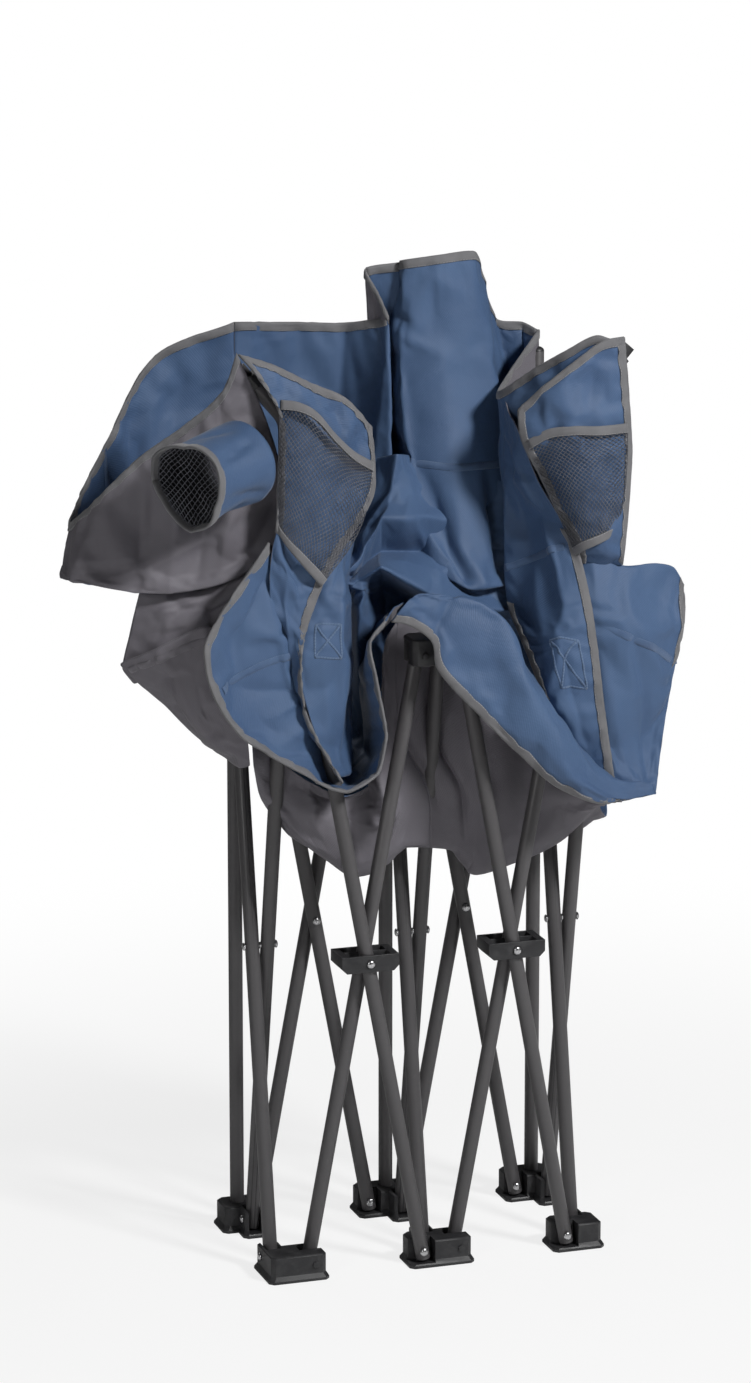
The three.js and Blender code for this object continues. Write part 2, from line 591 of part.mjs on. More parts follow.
const flapRightPoints = [
  [[572, 556, 10], [594, 556, 2], [625, 566, 3], [655, 563, 10], [674, 567, 15], [683, 584, 14]],
  [[575, 615, -6], [598, 618, -23], [628, 622, -26], [655, 626, -8], [674, 626, 4], [684, 619, 6]],
  [[580, 680, -8], [602, 681, -22], [629, 690, -24], [652, 690, -18], [664, 690, -6], [672, 680, -2]],
  [[590, 740, -18], [610, 741, -26], [629, 748, -28], [645, 748, -24], [654, 746, -16],
    [662, 741, -11]],
  [[604, 780, -30], [620, 781, -35], [634, 786, -39], [645, 790, -41], [651, 791, -37],
    [656, 793, -34]],
];
const panelLeftPoints = [
  [[239, 355, -5], [274, 366, -5], [309, 383, -2], [345, 399, 5], [371, 427, 18]],
  [[259, 379, -12], [288, 398, -16], [318, 413, -12], [347, 429, -2], [374, 466, 14]],
  [[280, 416, -18], [302, 444, -25], [326, 453, -21], [350, 466, -11], [375, 493, 7]],
  [[278, 478, -22], [300, 488, -28], [321, 493, -27], [345, 505, -14], [365, 523, 2]],
  [[276, 533, -23], [296, 543, -28], [314, 551, -25], [332, 561, -16], [348, 570, -6]],
  [[272, 550, -22], [287, 566, -27], [299, 580, -26], [311, 591, -22], [322, 601, -18]],
  [[267, 599, -24], [278, 614, -28], [289, 628, -30], [299, 639, -30], [307, 649, -29]],
  [[275, 659, -26], [284, 671, -28], [293, 685, -30], [301, 699, -29], [308, 713, -27]],
  [tied(-0.89, -0.2, 0.865), tied(-0.85, -0.2, 0.85), tied(-0.81, -0.2, 0.835),
    tied(-0.76, -0.21, 0.82), tied(-0.71, -0.21, 0.805)],
];
const panelRightPoints = [
  [[518, 410, 18], [545, 386, 4], [575, 362, -4], [600, 346, -6], [616, 341, -2]],
  [[522, 440, 16], [548, 425, 0], [578, 412, -10], [604, 402, -12], [628, 395, -4]],
  [[540, 475, 12], [562, 465, -4], [586, 458, -14], [610, 455, -14], [631, 452, -4]],
  [[558, 512, 6], [576, 508, -8], [596, 505, -16], [614, 505, -14], [628, 505, -4]],
  [[578, 548, -2], [590, 548, -10], [602, 548, -14], [614, 550, -12], [623, 558, -4]],
  [tied(0.57, 0.32, 1.12), tied(0.66, 0.2, 1.11), tied(0.76, 0.08, 1.1), tied(0.86, 0, 1.09),
    tied(0.94, -0.04, 1.08)],
  [tied(0.59, 0.3, 1.02), tied(0.68, 0.18, 1.01), tied(0.78, 0.08, 1), tied(0.88, 0.02, 1.01),
    tied(0.96, -0.04, 1.02)],
  [[530, 690, 40], tied(0.76, 0.12, 0.9), tied(0.84, 0.05, 0.9), tied(0.93, -0.03, 0.905),
    tied(1.01, -0.1, 0.91)],
  [tied(0.96, 0.06, 0.825), tied(0.99, 0, 0.815), tied(1.02, -0.05, 0.81), tied(1.05, -0.09, 0.81),
    tied(1.08, -0.12, 0.81)],
];
const centreFoldPoints = [
  [[348, 470, 112], [397, 452, 104], [434, 470, 120], [470, 480, 112], [508, 480, 105]],
  [[350, 545, 56], [402, 511, 68], [450, 525, 80], [478, 532, 70], [510, 532, 80]],
  [[350, 574, 38], [384, 555, 36], [440, 574, 54], [475, 590, 50], [510, 596, 56]],
  [[344, 602, 30], [386, 604, 92], [434, 592, 44], [470, 610, 20], [508, 624, 26]],
  [[350, 640, 44], [386, 640, 108], [440, 630, 70], [475, 640, 36], [510, 668, 26]],
  [[350, 740, 70], [392, 745, 104], [470, 735, 84], [520, 760, 60], [580, 792, 20]],
];
const undersidePoints = [
  [[268, 735, 54], [300, 712, 54], [340, 684, 54], [374, 648, 54], [396, 618, 52], [424, 610, 52],
    [456, 640, 54], [510, 705, 50], [560, 755, 44], [640, 785, 34]],
  [[262, 755, 50], [296, 752, 44], [340, 748, 38], [372, 742, 34], [394, 740, 36], [424, 728, 40],
    [460, 752, 36], [508, 774, 32], [560, 796, 32], [632, 800, 34]],
  [[272, 800, 62], [300, 815, 44], [340, 825, 36], [380, 825, 34], [412, 800, 40], [450, 790, 40],
    [480, 805, 34], [520, 808, 34], [560, 806, 42], [610, 802, 56]],
  [[300, 835, 78], [325, 850, 70], [355, 868, 66], [380, 860, 64], [404, 835, 60], [456, 838, 62],
    [474, 864, 64], [520, 850, 66], [570, 832, 70], [630, 812, 74]],
  [[285, 800, 118], [315, 820, 120], [350, 838, 118], [380, 830, 112], [404, 810, 104],
    [454, 815, 104], [474, 835, 112], [518, 826, 118], [562, 812, 118], [606, 795, 116]],
  [[280, 745, 140], [315, 745, 146], [350, 745, 146], [385, 745, 142], [408, 745, 130],
    [450, 735, 130], [478, 735, 142], [518, 735, 146], [558, 735, 144], [596, 735, 134]],
];
const cupFoot = tied(-1.71, -0.41, 1.31);
const cupMouth = tied(-1.358, -0.081, 1.358);

function place(entry) {
  const [across, back, up] = entry.shares ?? sharesSeen(entry);
  return point(across * rearPitch, back * rowDepth, up * topPin);
}

// Points on a smooth surface through a table, with the given number of steps between its points.
function smoothGrid(table, steps) {
  const rows = table.map((row) => new THREE.CatmullRomCurve3(row.map(place)));
  const acrossSteps = (table[0].length - 1) * steps;
  const downSteps = (table.length - 1) * steps;
  const grid = [];
  for (let i = 0; i <= acrossSteps; i++) {
    const column = new THREE.CatmullRomCurve3(rows.map((row) => row.getPoint(i / acrossSteps)));
    grid.push(Array.from({ length: downSteps + 1 }, (_, j) => column.getPoint(j / downSteps)));
  }
  return grid;
}

function stepBetween(grid, i, j, di, dj) {
  const clampRow = (k) => Math.min(Math.max(k, 0), grid.length - 1);
  const clampColumn = (k) => Math.min(Math.max(k, 0), grid[0].length - 1);
  const ahead = grid[clampRow(i + di)][clampColumn(j + dj)];
  return ahead.clone().sub(grid[clampRow(i - di)][clampColumn(j - dj)]).normalize();
}

// A closed sheet of the given thickness about a grid of points, its border moved out by grow
// and the whole moved along its own normal by offset.
function sheetSolid(grid, thickness, grow = 0, offset = 0) {
  const [lastI, lastJ] = [grid.length - 1, grid[0].length - 1];
  const outer = [];
  const inner = [];
  grid.forEach((column, i) =>
    column.forEach((here, j) => {
      const along = stepBetween(grid, i, j, 1, 0);
      const down = stepBetween(grid, i, j, 0, 1);
      const normal = along.clone().cross(down).normalize();
      const moved = here.clone().addScaledVector(normal, offset);
      if (i === 0 || i === lastI) moved.addScaledVector(along, i === 0 ? -grow : grow);
      if (j === 0 || j === lastJ) moved.addScaledVector(down, j === 0 ? -grow : grow);
      outer.push(moved.clone().addScaledVector(normal, thickness / 2));
      inner.push(moved.clone().addScaledVector(normal, -thickness / 2));
    }),
  );
  const at = (i, j) => i * (lastJ + 1) + j;
  const under = outer.length;
  const triangles = [];
  for (let i = 0; i < lastI; i++) {
    for (let j = 0; j < lastJ; j++) {
      const [a, b, c, d] = [at(i, j), at(i + 1, j), at(i + 1, j + 1), at(i, j + 1)];
      triangles.push([a, b, c], [a, c, d], [under + a, under + c, under + b], [under + a, under + d, under + c]);
    }
  }
  const border = [];
  for (let i = 0; i < lastI; i++) border.push(at(i, 0));
  for (let j = 0; j < lastJ; j++) border.push(at(lastI, j));
  for (let i = lastI; i > 0; i--) border.push(at(i, lastJ));
  for (let j = lastJ; j > 0; j--) border.push(at(0, j));
  border.forEach((a, k) => {
    const b = border[(k + 1) % border.length];
    triangles.push([b, a, under + a], [b, under + a, under + b]);
  });
  return surfaceSolid([...outer, ...inner], triangles);
}

// A sheet clears the frame and every sheet made before it, and keeps its largest connected piece.
function clothSheet(name, table, material, offset = 0, steps = 2) {
  const grid = smoothGrid(table, steps);
  const shape = sheetSolid(grid, clothThickness, 0, offset);
  const cleared = shape.subtract(joined(clothKeepOut));
  clothKeepOut.push(sheetSolid(grid, clothThickness + 2 * fitGap, fitGap, offset));
  addPiece(name, largestPiece(cleared), material);
}

// The cup holder: a cloth cup that hangs on the arm with its closed end to the front.
function cupHolder() {
  const mouth = place(cupMouth);
  const away = mouth.clone().sub(place(cupFoot)).normalize();
  const foot = mouth.addScaledVector(away, -cupDepth);
  const inner = cupRadius - cupWall;
  const profile = [
    [0, 0], [cupRadius, 0], [cupRadius, cupDepth], [inner, cupDepth], [inner, cupWall], [0, cupWall],
  ].map(([r, z]) => new THREE.Vector2(r, z));
  const sides = 20;
  const geometry = new THREE.LatheGeometry(profile, sides);
  geometry.applyQuaternion(new THREE.Quaternion().setFromUnitVectors(yAxis, away));
  const shape = solid(geometry.translate(foot.x, foot.y, foot.z));
  addPiece("cup_holder", largestPiece(shape.subtract(joined(clothKeepOut))), blueCloth);
}

rowOfTubes("front", 0, frontPinHalf, frontPitch);
rowOfTubes("rear", rowDepth, rearPinHalf, rearPitch);
sideTubes("left", -rearPitch);
sideTubes("centre", 0);
sideTubes("right", rearPitch);
feet();
bracketsAndSliders();
crossingHub("left", -frontPitch / 2);
crossingHub("right", frontPitch / 2);
bareCrossingRivets();
upright("left", -rearPitch, leftPostTop);
upright("centre", 0, centrePostTop);
upright("right", rearPitch, rightPostTop);
armPost("left", -1);
armPost("right", 1);

clothSheet("back_cloth_left", backLeftPoints, blueCloth);
clothSheet("back_cloth_right", backRightPoints, blueCloth);
clothSheet("arm_cloth_left", armLeftPoints, blueCloth);
clothSheet("arm_cloth_right", armRightPoints, blueCloth);
clothSheet("front_panel_left", panelLeftPoints, blueCloth);
clothSheet("front_panel_right", panelRightPoints, blueCloth);
clothSheet("mesh_pocket_left", panelLeftPoints.slice(2, 6), meshCloth, pocketOffset);
clothSheet("mesh_pocket_right", panelRightPoints.slice(1, 5), meshCloth, pocketOffset);
clothSheet("seat_cloth_left", seatLeftPoints, blueCloth);
clothSheet("seat_cloth_right", seatRightPoints, blueCloth);
clothSheet("seat_flap_right", flapRightPoints, blueCloth);
clothSheet("seat_fold_centre", centreFoldPoints, blueCloth);
clothSheet("seat_underside", undersidePoints, greyCloth);
clothSheet("side_lining_left", sideLeftPoints, greyCloth);
cupHolder();

export default group;
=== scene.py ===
# %% [markdown]
# # A folding camping loveseat, stood up and nearly folded
#
# The seat is a linkage of steel tubes with sewn cloth hung between them. In this state the cloth
# isn't stretched: it hangs in deep folds, and most of this lesson is about such cloth. The frame
# (tubes, feet, brackets) comes first, because every fold hangs on it.

# %% Load the frame
import json
import math

import bmesh
import bpy
import numpy as np
from mathutils import Matrix, Vector, noise


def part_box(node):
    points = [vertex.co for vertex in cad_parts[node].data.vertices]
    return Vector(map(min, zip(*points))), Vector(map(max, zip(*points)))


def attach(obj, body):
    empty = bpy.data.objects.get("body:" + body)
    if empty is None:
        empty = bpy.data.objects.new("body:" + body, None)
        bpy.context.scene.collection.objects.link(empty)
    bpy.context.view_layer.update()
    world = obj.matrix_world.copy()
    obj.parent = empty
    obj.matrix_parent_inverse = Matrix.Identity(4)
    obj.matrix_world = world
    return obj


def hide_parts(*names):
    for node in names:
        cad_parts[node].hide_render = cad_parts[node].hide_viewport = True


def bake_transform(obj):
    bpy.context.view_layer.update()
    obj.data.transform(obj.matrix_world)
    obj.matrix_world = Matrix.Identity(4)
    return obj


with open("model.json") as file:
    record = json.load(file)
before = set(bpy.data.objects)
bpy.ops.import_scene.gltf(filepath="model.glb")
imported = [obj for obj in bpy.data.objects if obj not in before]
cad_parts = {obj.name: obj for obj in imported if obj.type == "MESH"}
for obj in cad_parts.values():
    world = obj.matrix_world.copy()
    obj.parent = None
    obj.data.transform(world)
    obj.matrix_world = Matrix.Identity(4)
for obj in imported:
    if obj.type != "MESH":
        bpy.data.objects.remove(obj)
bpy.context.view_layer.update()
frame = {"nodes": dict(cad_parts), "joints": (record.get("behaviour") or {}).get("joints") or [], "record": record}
MM = 0.001

# %% [markdown]
# ## The lengths that the cloth follows
#
# Three lengths of the frame set where the cloth is: the distance between the uprights, the depth
# from the front row to the rear row, and the height of the top pins. They are read off the joints
# of the frame, so the cloth stays on it.

# %% Lengths of the frame
pin_at = {joint["name"]: Vector(joint["pos_m"]) for joint in frame["joints"] if "pos_m" in joint}
TOP_PIN = pin_at["rear_left_slider_pin"].z
ROW_DEPTH = (pin_at["rear_left_slider_pin"].y + pin_at["rear_centre_slider_pin"].y) / 2
POST_LOW, POST_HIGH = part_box("right_post")
REAR_PITCH = (POST_LOW.x + POST_HIGH.x) / 2
FRONT_PITCH = pin_at["front_right_bracket_pin"].x + pin_at["front_right_foot_pin_inner"].x
LENGTHS = np.array([REAR_PITCH, ROW_DEPTH, TOP_PIN])
print("pitch, depth, top pins", np.round(LENGTHS, 4))

# %% [markdown]
# ## Camera and light
#
# The photograph was taken from a little above and a little to the viewer's left of the seat, with
# a long lens. The camera's turn, rise, focal length and three offsets were fitted by a separate
# program, until the feet and the posts fell where the picture shows them.
#
# A lamp high on the right throws the shadows, a weaker one low on the left opens the grey cloth
# there, and a third lifts the rear. The lamps stay weak enough for a colour to render about as it
# is written.

# %% Camera
PICTURE_WIDTH, PICTURE_HEIGHT = 751, 1383
FOCAL_PIXELS = 5150
SENSOR = 24
AZIMUTH, ELEVATION = math.radians(-18.5), math.radians(13.5)
AIM = Vector((0, 0, 0.5))
ASIDE, DOWN, AWAY = 0.06913, 0.14936, 5.63954

back = Vector((
    math.sin(AZIMUTH) * math.cos(ELEVATION),
    -math.cos(AZIMUTH) * math.cos(ELEVATION),
    math.sin(ELEVATION),
))
right = Vector((math.cos(AZIMUTH), math.sin(AZIMUTH), 0))
up = back.cross(right)

camera_data = bpy.data.cameras.new("camera")
camera_data.sensor_fit = "VERTICAL"
camera_data.sensor_height = SENSOR
camera_data.lens = FOCAL_PIXELS / PICTURE_HEIGHT * SENSOR
camera = bpy.data.objects.new("camera", camera_data)
camera.location = AIM - ASIDE * right + DOWN * up + AWAY * back
camera.rotation_mode = "QUATERNION"
camera.rotation_quaternion = (-back).to_track_quat("-Z", "Y")
bpy.context.scene.collection.objects.link(camera)
bpy.context.scene.camera = camera
bpy.context.scene.view_settings.view_transform = "Standard"
print("camera at", [round(x, 3) for x in camera.location])

# %% Lamps
def soft_lamp(name, place, width, watts):
    data = bpy.data.lights.new(name, "AREA")
    data.shape = "DISK"
    data.size = width
    data.energy = watts
    lamp = bpy.data.objects.new(name, data)
    lamp.location = place
    lamp.rotation_euler = (Vector(place) - AIM).to_track_quat("Z", "Y").to_euler()
    bpy.context.scene.collection.objects.link(lamp)


# each lamp: its place and its width in metres, and its power in watts
LAMPS = {
    "key_lamp": ((1.38, -2.2, 2.78), 0.6, 105),
    "fill_lamp": ((-2.6, -2.2, 1.5), 1.0, 17),
    "rear_lamp": ((-0.6, 2.4, 2.4), 1.4, 10),
}
for name, (place, width, watts) in LAMPS.items():
    soft_lamp(name, place, width, watts)
print("lamps", list(LAMPS))

# %% [markdown]
# ### Node graphs
#
# The world, the floor and every finish are node graphs, and a few helpers keep them short. `wire`
# adds a node, sets its inputs and links what is handed to it, and most of the others add one node
# of a kind. Patterns on rigid pieces read Object coordinates. Patterns on cloth and tape read a UV
# map in metres, so that weave and stitches keep their size and follow the surface.

# %% Helpers for node graphs
def wire(tree, kind, inputs=(), **settings):
    """Adds a node; inputs is a list of (socket, value or output socket)."""
    node = tree.nodes.new(kind)
    for name, value in settings.items():
        setattr(node, name, value)
    for socket, value in inputs:
        if isinstance(value, bpy.types.NodeSocket):
            tree.links.new(value, node.inputs[socket])
        else:
            node.inputs[socket].default_value = value
    return node


def sums(tree, operation, *values):
    """One Math node; each value is a number or a socket."""
    return wire(tree, "ShaderNodeMath", list(enumerate(values)), operation=operation).outputs[0]


def blend_colours(tree, share, first, second):
    """One Mix node; each colour is three numbers or a socket."""
    first, second = (c if isinstance(c, bpy.types.NodeSocket) else (*c, 1) for c in (first, second))
    values = [(0, share), (6, first), (7, second)]
    return wire(tree, "ShaderNodeMix", values, data_type="RGBA").outputs[2]


def mapped(tree, source, low, high, new_low, new_high, **settings):
    values = [(0, source), (1, low), (2, high), (3, new_low), (4, new_high)]
    return wire(tree, "ShaderNodeMapRange", values, **settings).outputs[0]


def speckle(tree, place, scale, detail=2.0, roughness=0.5):
    """Noise from 0 to 1; scale is in patterns to the metre."""
    values = [("Vector", place), ("Scale", scale), ("Detail", detail), ("Roughness", roughness)]
    return wire(tree, "ShaderNodeTexNoise", values).outputs["Fac"]


def bump(tree, height, strength, distance, *under):
    """The normal of a Bump node, laid over another normal if one is given."""
    values = [("Height", height), ("Strength", strength), ("Distance", distance)]
    values += [("Normal", normal) for normal in under]
    return wire(tree, "ShaderNodeBump", values).outputs[0]


def object_place(tree):
    return wire(tree, "ShaderNodeTexCoord").outputs["Object"]


def cloth_place(tree):
    """The cloth's UV map, and its two numbers apart."""
    uv = wire(tree, "ShaderNodeUVMap", uv_map="cloth").outputs[0]
    split = wire(tree, "ShaderNodeSeparateXYZ", [(0, uv)]).outputs
    return uv, split[0], split[1]


def feed(tree, shader, outputs):
    """Links each output to the shader's input of that name."""
    for name, output in outputs.items():
        tree.links.new(output, shader.inputs[name])


def bare_material(name, colour, roughness, metallic=0.0):
    material = bpy.data.materials.new(name)
    material.use_nodes = True
    shader = material.node_tree.nodes["Principled BSDF"]
    shader.inputs["Base Color"].default_value = (*colour, 1)
    shader.inputs["Roughness"].default_value = roughness
    shader.inputs["Metallic"].default_value = metallic
    material.diffuse_color = (*colour, 1)
    return material, material.node_tree, shader


print("node helpers ready")

# %% [markdown]
# ### World and floor
#
# The camera sees a plain white world, and everything else sees a very faint one, because the
# folds of the cloth are almost black inside. The floor is pale paper that takes the shadow. What
# the camera sees of it goes over into plain white away from the feet, so that no horizon shows.

# %% World and floor
WHITE = (1, 1, 1, 1)
WORLD_LIGHT = 0.03
FLOOR_HALF = 30.0
PAPER, PAPER_ROUGHNESS = (0.9, 0.9, 0.9), 0.9
GLOW_NEAR, GLOW_FAR = 0.45, 1.7
GLOW_LEAST, GLOW_MOST = 0.8, 1


def whitened(tree, share, shader, white, output):
    """Mixes a shader with a white one by a share, and sends the mix to the output."""
    values = [(0, share), (1, shader.outputs[0]), (2, white.outputs[0])]
    mix = wire(tree, "ShaderNodeMixShader", values)
    tree.links.new(mix.outputs[0], output.inputs["Surface"])


world = bpy.data.worlds.new("studio")
world.use_nodes = True
bpy.context.scene.world = world
tree = world.node_tree
faint = tree.nodes["Background"]
faint.inputs["Color"].default_value = WHITE
faint.inputs["Strength"].default_value = WORLD_LIGHT
bright = wire(tree, "ShaderNodeBackground", [("Color", WHITE), ("Strength", 1)])
to_camera = wire(tree, "ShaderNodeLightPath").outputs["Is Camera Ray"]
whitened(tree, to_camera, faint, bright, tree.nodes["World Output"])

shape = bmesh.new()
bmesh.ops.create_grid(shape, x_segments=1, y_segments=1, size=FLOOR_HALF)
floor_mesh = bpy.data.meshes.new("floor")
shape.to_mesh(floor_mesh)
shape.free()
floor = bpy.data.objects.new("floor", floor_mesh)
bpy.context.scene.collection.objects.link(floor)
paper, tree, paper_shader = bare_material("floor_paper", PAPER, PAPER_ROUGHNESS)
reach = wire(tree, "ShaderNodeVectorMath", [(0, object_place(tree))], operation="LENGTH")
share = mapped(tree, reach.outputs["Value"], GLOW_NEAR, GLOW_FAR, GLOW_LEAST, GLOW_MOST,
               interpolation_type="SMOOTHSTEP")
to_camera = wire(tree, "ShaderNodeLightPath").outputs["Is Camera Ray"]
glow = wire(tree, "ShaderNodeEmission")
glow_share = sums(tree, "MULTIPLY", share, to_camera)
whitened(tree, glow_share, paper_shader, glow, tree.nodes["Material Output"])
floor_mesh.materials.append(paper)
print("floor", FLOOR_HALF * 2, "m across")

# %% [markdown]
# ## Materials
#
# ### Powder coat
#
# The tubes are sprayed with dry paint and baked. The coat is satin, a little uneven, with a fine
# orange peel. A low bump gives the peel, and slow noise changes the gloss along the tube. Where
# finer noise is high, the paint is scuffed a little paler.

# %% Powder coat
POWDER = (0.083, 0.080, 0.083)
POWDER_WORN = (0.115, 0.112, 0.114)
POWDER_GLOSS, POWDER_DULL = 0.34, 0.5
GLOSS_SCALE, SCUFF_SCALE, PEEL_SCALE = 14, 160, 900
PEEL_HEIGHT = 0.4 * MM


def powder_coat():
    material, tree, shader = bare_material("powder_coat", POWDER, 0.42)
    place = object_place(tree)
    slow = speckle(tree, place, GLOSS_SCALE, 3.0)
    scuffs = mapped(tree, speckle(tree, place, SCUFF_SCALE, 4.0, 0.7), 0.6, 0.75, 0.0, 0.5)
    feed(tree, shader, {
        "Base Color": blend_colours(tree, scuffs, POWDER, POWDER_WORN),
        "Roughness": mapped(tree, slow, 0.3, 0.7, POWDER_GLOSS, POWDER_DULL),
        "Normal": bump(tree, speckle(tree, place, PEEL_SCALE, 1.0), 0.12, PEEL_HEIGHT),
    })
    shader.inputs["Specular IOR Level"].default_value = 0.55
    return material


tube_finish = powder_coat()
print("made", tube_finish.name)

# %% [markdown]
# ### Moulded nylon and plated steel
#
# Feet, brackets and hubs are black nylon from a spark-eroded mould: fine grain, a dull shine and
# some dust. The rivets are plated steel with fine marks that change its gloss.

# %% Nylon and steel
NYLON = (0.022, 0.022, 0.024)
NYLON_DUSTY = (0.045, 0.045, 0.047)
NYLON_GLOSS, NYLON_DULL = 0.42, 0.6
DUST_SCALE, GRAIN_SCALE = 60, 1500
GRAIN_HEIGHT = 0.3 * MM
STEEL = (0.60, 0.60, 0.61)
STEEL_GLOSS, STEEL_DULL = 0.2, 0.38
MARK_SCALE = 700
MARK_HEIGHT = 0.2 * MM


def moulded_nylon():
    material, tree, shader = bare_material("moulded_nylon", NYLON, 0.5)
    place = object_place(tree)
    dust = mapped(tree, speckle(tree, place, DUST_SCALE, 4.0, 0.65), 0.45, 0.75, 0.0, 1.0)
    feed(tree, shader, {
        "Base Color": blend_colours(tree, dust, NYLON, NYLON_DUSTY),
        "Roughness": mapped(tree, dust, 0, 1, NYLON_GLOSS, NYLON_DULL),
        "Normal": bump(tree, speckle(tree, place, GRAIN_SCALE), 0.25, GRAIN_HEIGHT),
    })
    return material


def plated_steel():
    material, tree, shader = bare_material("plated_steel", STEEL, 0.28, 1.0)
    marks = speckle(tree, object_place(tree), MARK_SCALE, 3.0)
    feed(tree, shader, {
        "Roughness": mapped(tree, marks, 0.3, 0.7, STEEL_GLOSS, STEEL_DULL),
        "Normal": bump(tree, marks, 0.08, MARK_HEIGHT),
    })
    return material


nylon_finish = moulded_nylon()
steel_finish = plated_steel()
print("made", nylon_finish.name, steel_finish.name)

# %% [markdown]
# ### Coated woven polyester
#
# The cloth is a coarse weave with a coating on the back. Two sets of threads cross, so part of its
# height is a wave along the cloth times a wave across it, and a third wave on the slant gives the
# fine slanting lines that show at a distance. Slow noise varies the colour, as dye and handling
# do, a soft bump puckers the surface, and a faint sheen lifts the edges of the folds.

# %% Woven cloth
THREAD = 1.7 * MM
SLANT = 1.5 * THREAD
WANDER = 0.25 * THREAD
WANDER_SCALE, FIBRE_SCALE = 220, 900
PATCH_SCALE, PUCKER_SCALE = 9, 70
THREAD_HEIGHT, PUCKER_HEIGHT = 0.25 * MM, 2.2 * MM
CLOTH_GLOSS, CLOTH_DULL = 0.5, 0.66
BLUE = (0.046, 0.090, 0.186)
BLUE_PALE = (0.078, 0.140, 0.258)
GREY = (0.134, 0.126, 0.145)
GREY_PALE = (0.194, 0.184, 0.206)
# Painted shade: near-black cloth for the inside of the cup holder, where the cup lies in shadow.
PAINTED_SHADE = (0.012, 0.012, 0.015)
PAINTED_SHADE_PALE = (0.020, 0.020, 0.024)


def thread_wave(tree, along, pitch):
    return sums(tree, "SINE", sums(tree, "MULTIPLY", along, 2 * math.pi / pitch))


def woven_cloth(name, colour, pale, sheen):
    material, tree, shader = bare_material(name, colour, 0.62)
    uv, along, down = cloth_place(tree)
    place = object_place(tree)
    shift = mapped(tree, speckle(tree, uv, WANDER_SCALE), 0, 1, -WANDER, WANDER)
    across = sums(tree, "ADD", along, shift)
    weave = sums(tree, "MULTIPLY", thread_wave(tree, across, THREAD), thread_wave(tree, down, THREAD))
    twill = thread_wave(tree, sums(tree, "ADD", across, down), SLANT)
    height = sums(tree, "ADD", weave, sums(tree, "MULTIPLY", twill, 0.6))
    patches = speckle(tree, place, PATCH_SCALE, 4.0, 0.6)
    fibres = speckle(tree, uv, FIBRE_SCALE, 2.0, 0.7)
    lift = mapped(tree, patches, 0.3, 0.7, 0.0, 0.45)
    lift = sums(tree, "ADD", lift, mapped(tree, height, -1.6, 1.6, -0.25, 0.45))
    lift = sums(tree, "ADD", lift, mapped(tree, fibres, 0.3, 0.7, -0.08, 0.08))
    threads = bump(tree, height, 0.35, THREAD_HEIGHT)
    puckers = speckle(tree, place, PUCKER_SCALE, 3.0, 0.55)
    feed(tree, shader, {
        "Base Color": blend_colours(tree, lift, colour, pale),
        "Roughness": mapped(tree, patches, 0.3, 0.7, CLOTH_GLOSS, CLOTH_DULL),
        "Normal": bump(tree, puckers, 0.35, PUCKER_HEIGHT, threads),
    })
    shader.inputs["Sheen Weight"].default_value = sheen
    shader.inputs["Sheen Roughness"].default_value = 0.4
    shader.inputs["Specular IOR Level"].default_value = 0.42
    return material


blue_cloth = woven_cloth("blue_cloth", BLUE, BLUE_PALE, 0.1)
grey_cloth = woven_cloth("grey_cloth", GREY, GREY_PALE, 0.08)
painted_shade_cloth = woven_cloth("painted_shade_cloth", PAINTED_SHADE, PAINTED_SHADE_PALE, 0.02)
print("made", blue_cloth.name, grey_cloth.name, painted_shade_cloth.name)

# %% [markdown]
# ### Binding tape, seams and thread
#
# Every free edge is bound with a folded woven tape, stitched near its inner edge. On the tape's UV
# map, u runs along it in metres and v across it from one inner edge to the other, so the stitches
# are dashes along u at two values of v. Ribs run across the tape. A seam strip has the same
# stitches on cloth of its own colour.

# %% Tape and seam
TAPE_WIDTH = 9 * MM
TAPE = (0.125, 0.125, 0.132)
TAPE_PALE = (0.185, 0.184, 0.192)
THREAD_GREY = (0.30, 0.30, 0.31)
STITCH = 3.4 * MM
DASH_SHARE = 0.74
STITCH_HEIGHT = 0.4 * MM
TAPE_ROWS, SEAM_ROWS, STITCH_ROW = (0.08, 0.92), (0.22, 0.78), (0.5,)
TAPE_RIB, SEAM_RIB = 1.1 * MM, 0.9 * MM
ROW_HALF, STITCH_HALF = 0.022, 0.28


def stitched(tree, shader, along, across, rows, half_width, colour, thread, ribs):
    """Dashes along u at the given values of v, laid over the colour and the bump."""
    beat = sums(tree, "FRACT", sums(tree, "DIVIDE", along, STITCH))
    dash = sums(tree, "LESS_THAN", beat, DASH_SHARE)
    line = None
    for row in rows:
        away = sums(tree, "ABSOLUTE", sums(tree, "SUBTRACT", across, row))
        near = sums(tree, "LESS_THAN", away, half_width)
        line = near if line is None else sums(tree, "MAXIMUM", line, near)
    stitch = sums(tree, "MULTIPLY", dash, line)
    stitch_height, sunk = sums(tree, "MULTIPLY", stitch, 1.5), sums(tree, "MULTIPLY", line, 0.8)
    height = sums(tree, "SUBTRACT", stitch_height, sunk)
    height = sums(tree, "ADD", height, sums(tree, "MULTIPLY", ribs, 0.5))
    feed(tree, shader, {
        "Base Color": blend_colours(tree, stitch, colour, thread),
        "Normal": bump(tree, height, 0.5, STITCH_HEIGHT),
    })


def tape_material(name, dark, pale, thread, rows, rib_pitch, half_width=ROW_HALF):
    material, tree, shader = bare_material(name, dark, 0.68)
    _, along, across = cloth_place(tree)
    ribs = thread_wave(tree, along, rib_pitch)
    patches = speckle(tree, object_place(tree), 40, 3.0, 0.6)
    patch_lift = mapped(tree, patches, 0.3, 0.7, 0.0, 0.7)
    lift = sums(tree, "ADD", patch_lift, mapped(tree, ribs, -1, 1, -0.15, 0.25))
    colour = blend_colours(tree, lift, dark, pale)
    stitched(tree, shader, along, across, rows, half_width, colour, thread, ribs)
    shader.inputs["Sheen Weight"].default_value = 0.2
    shader.inputs["Sheen Roughness"].default_value = 0.5
    return material


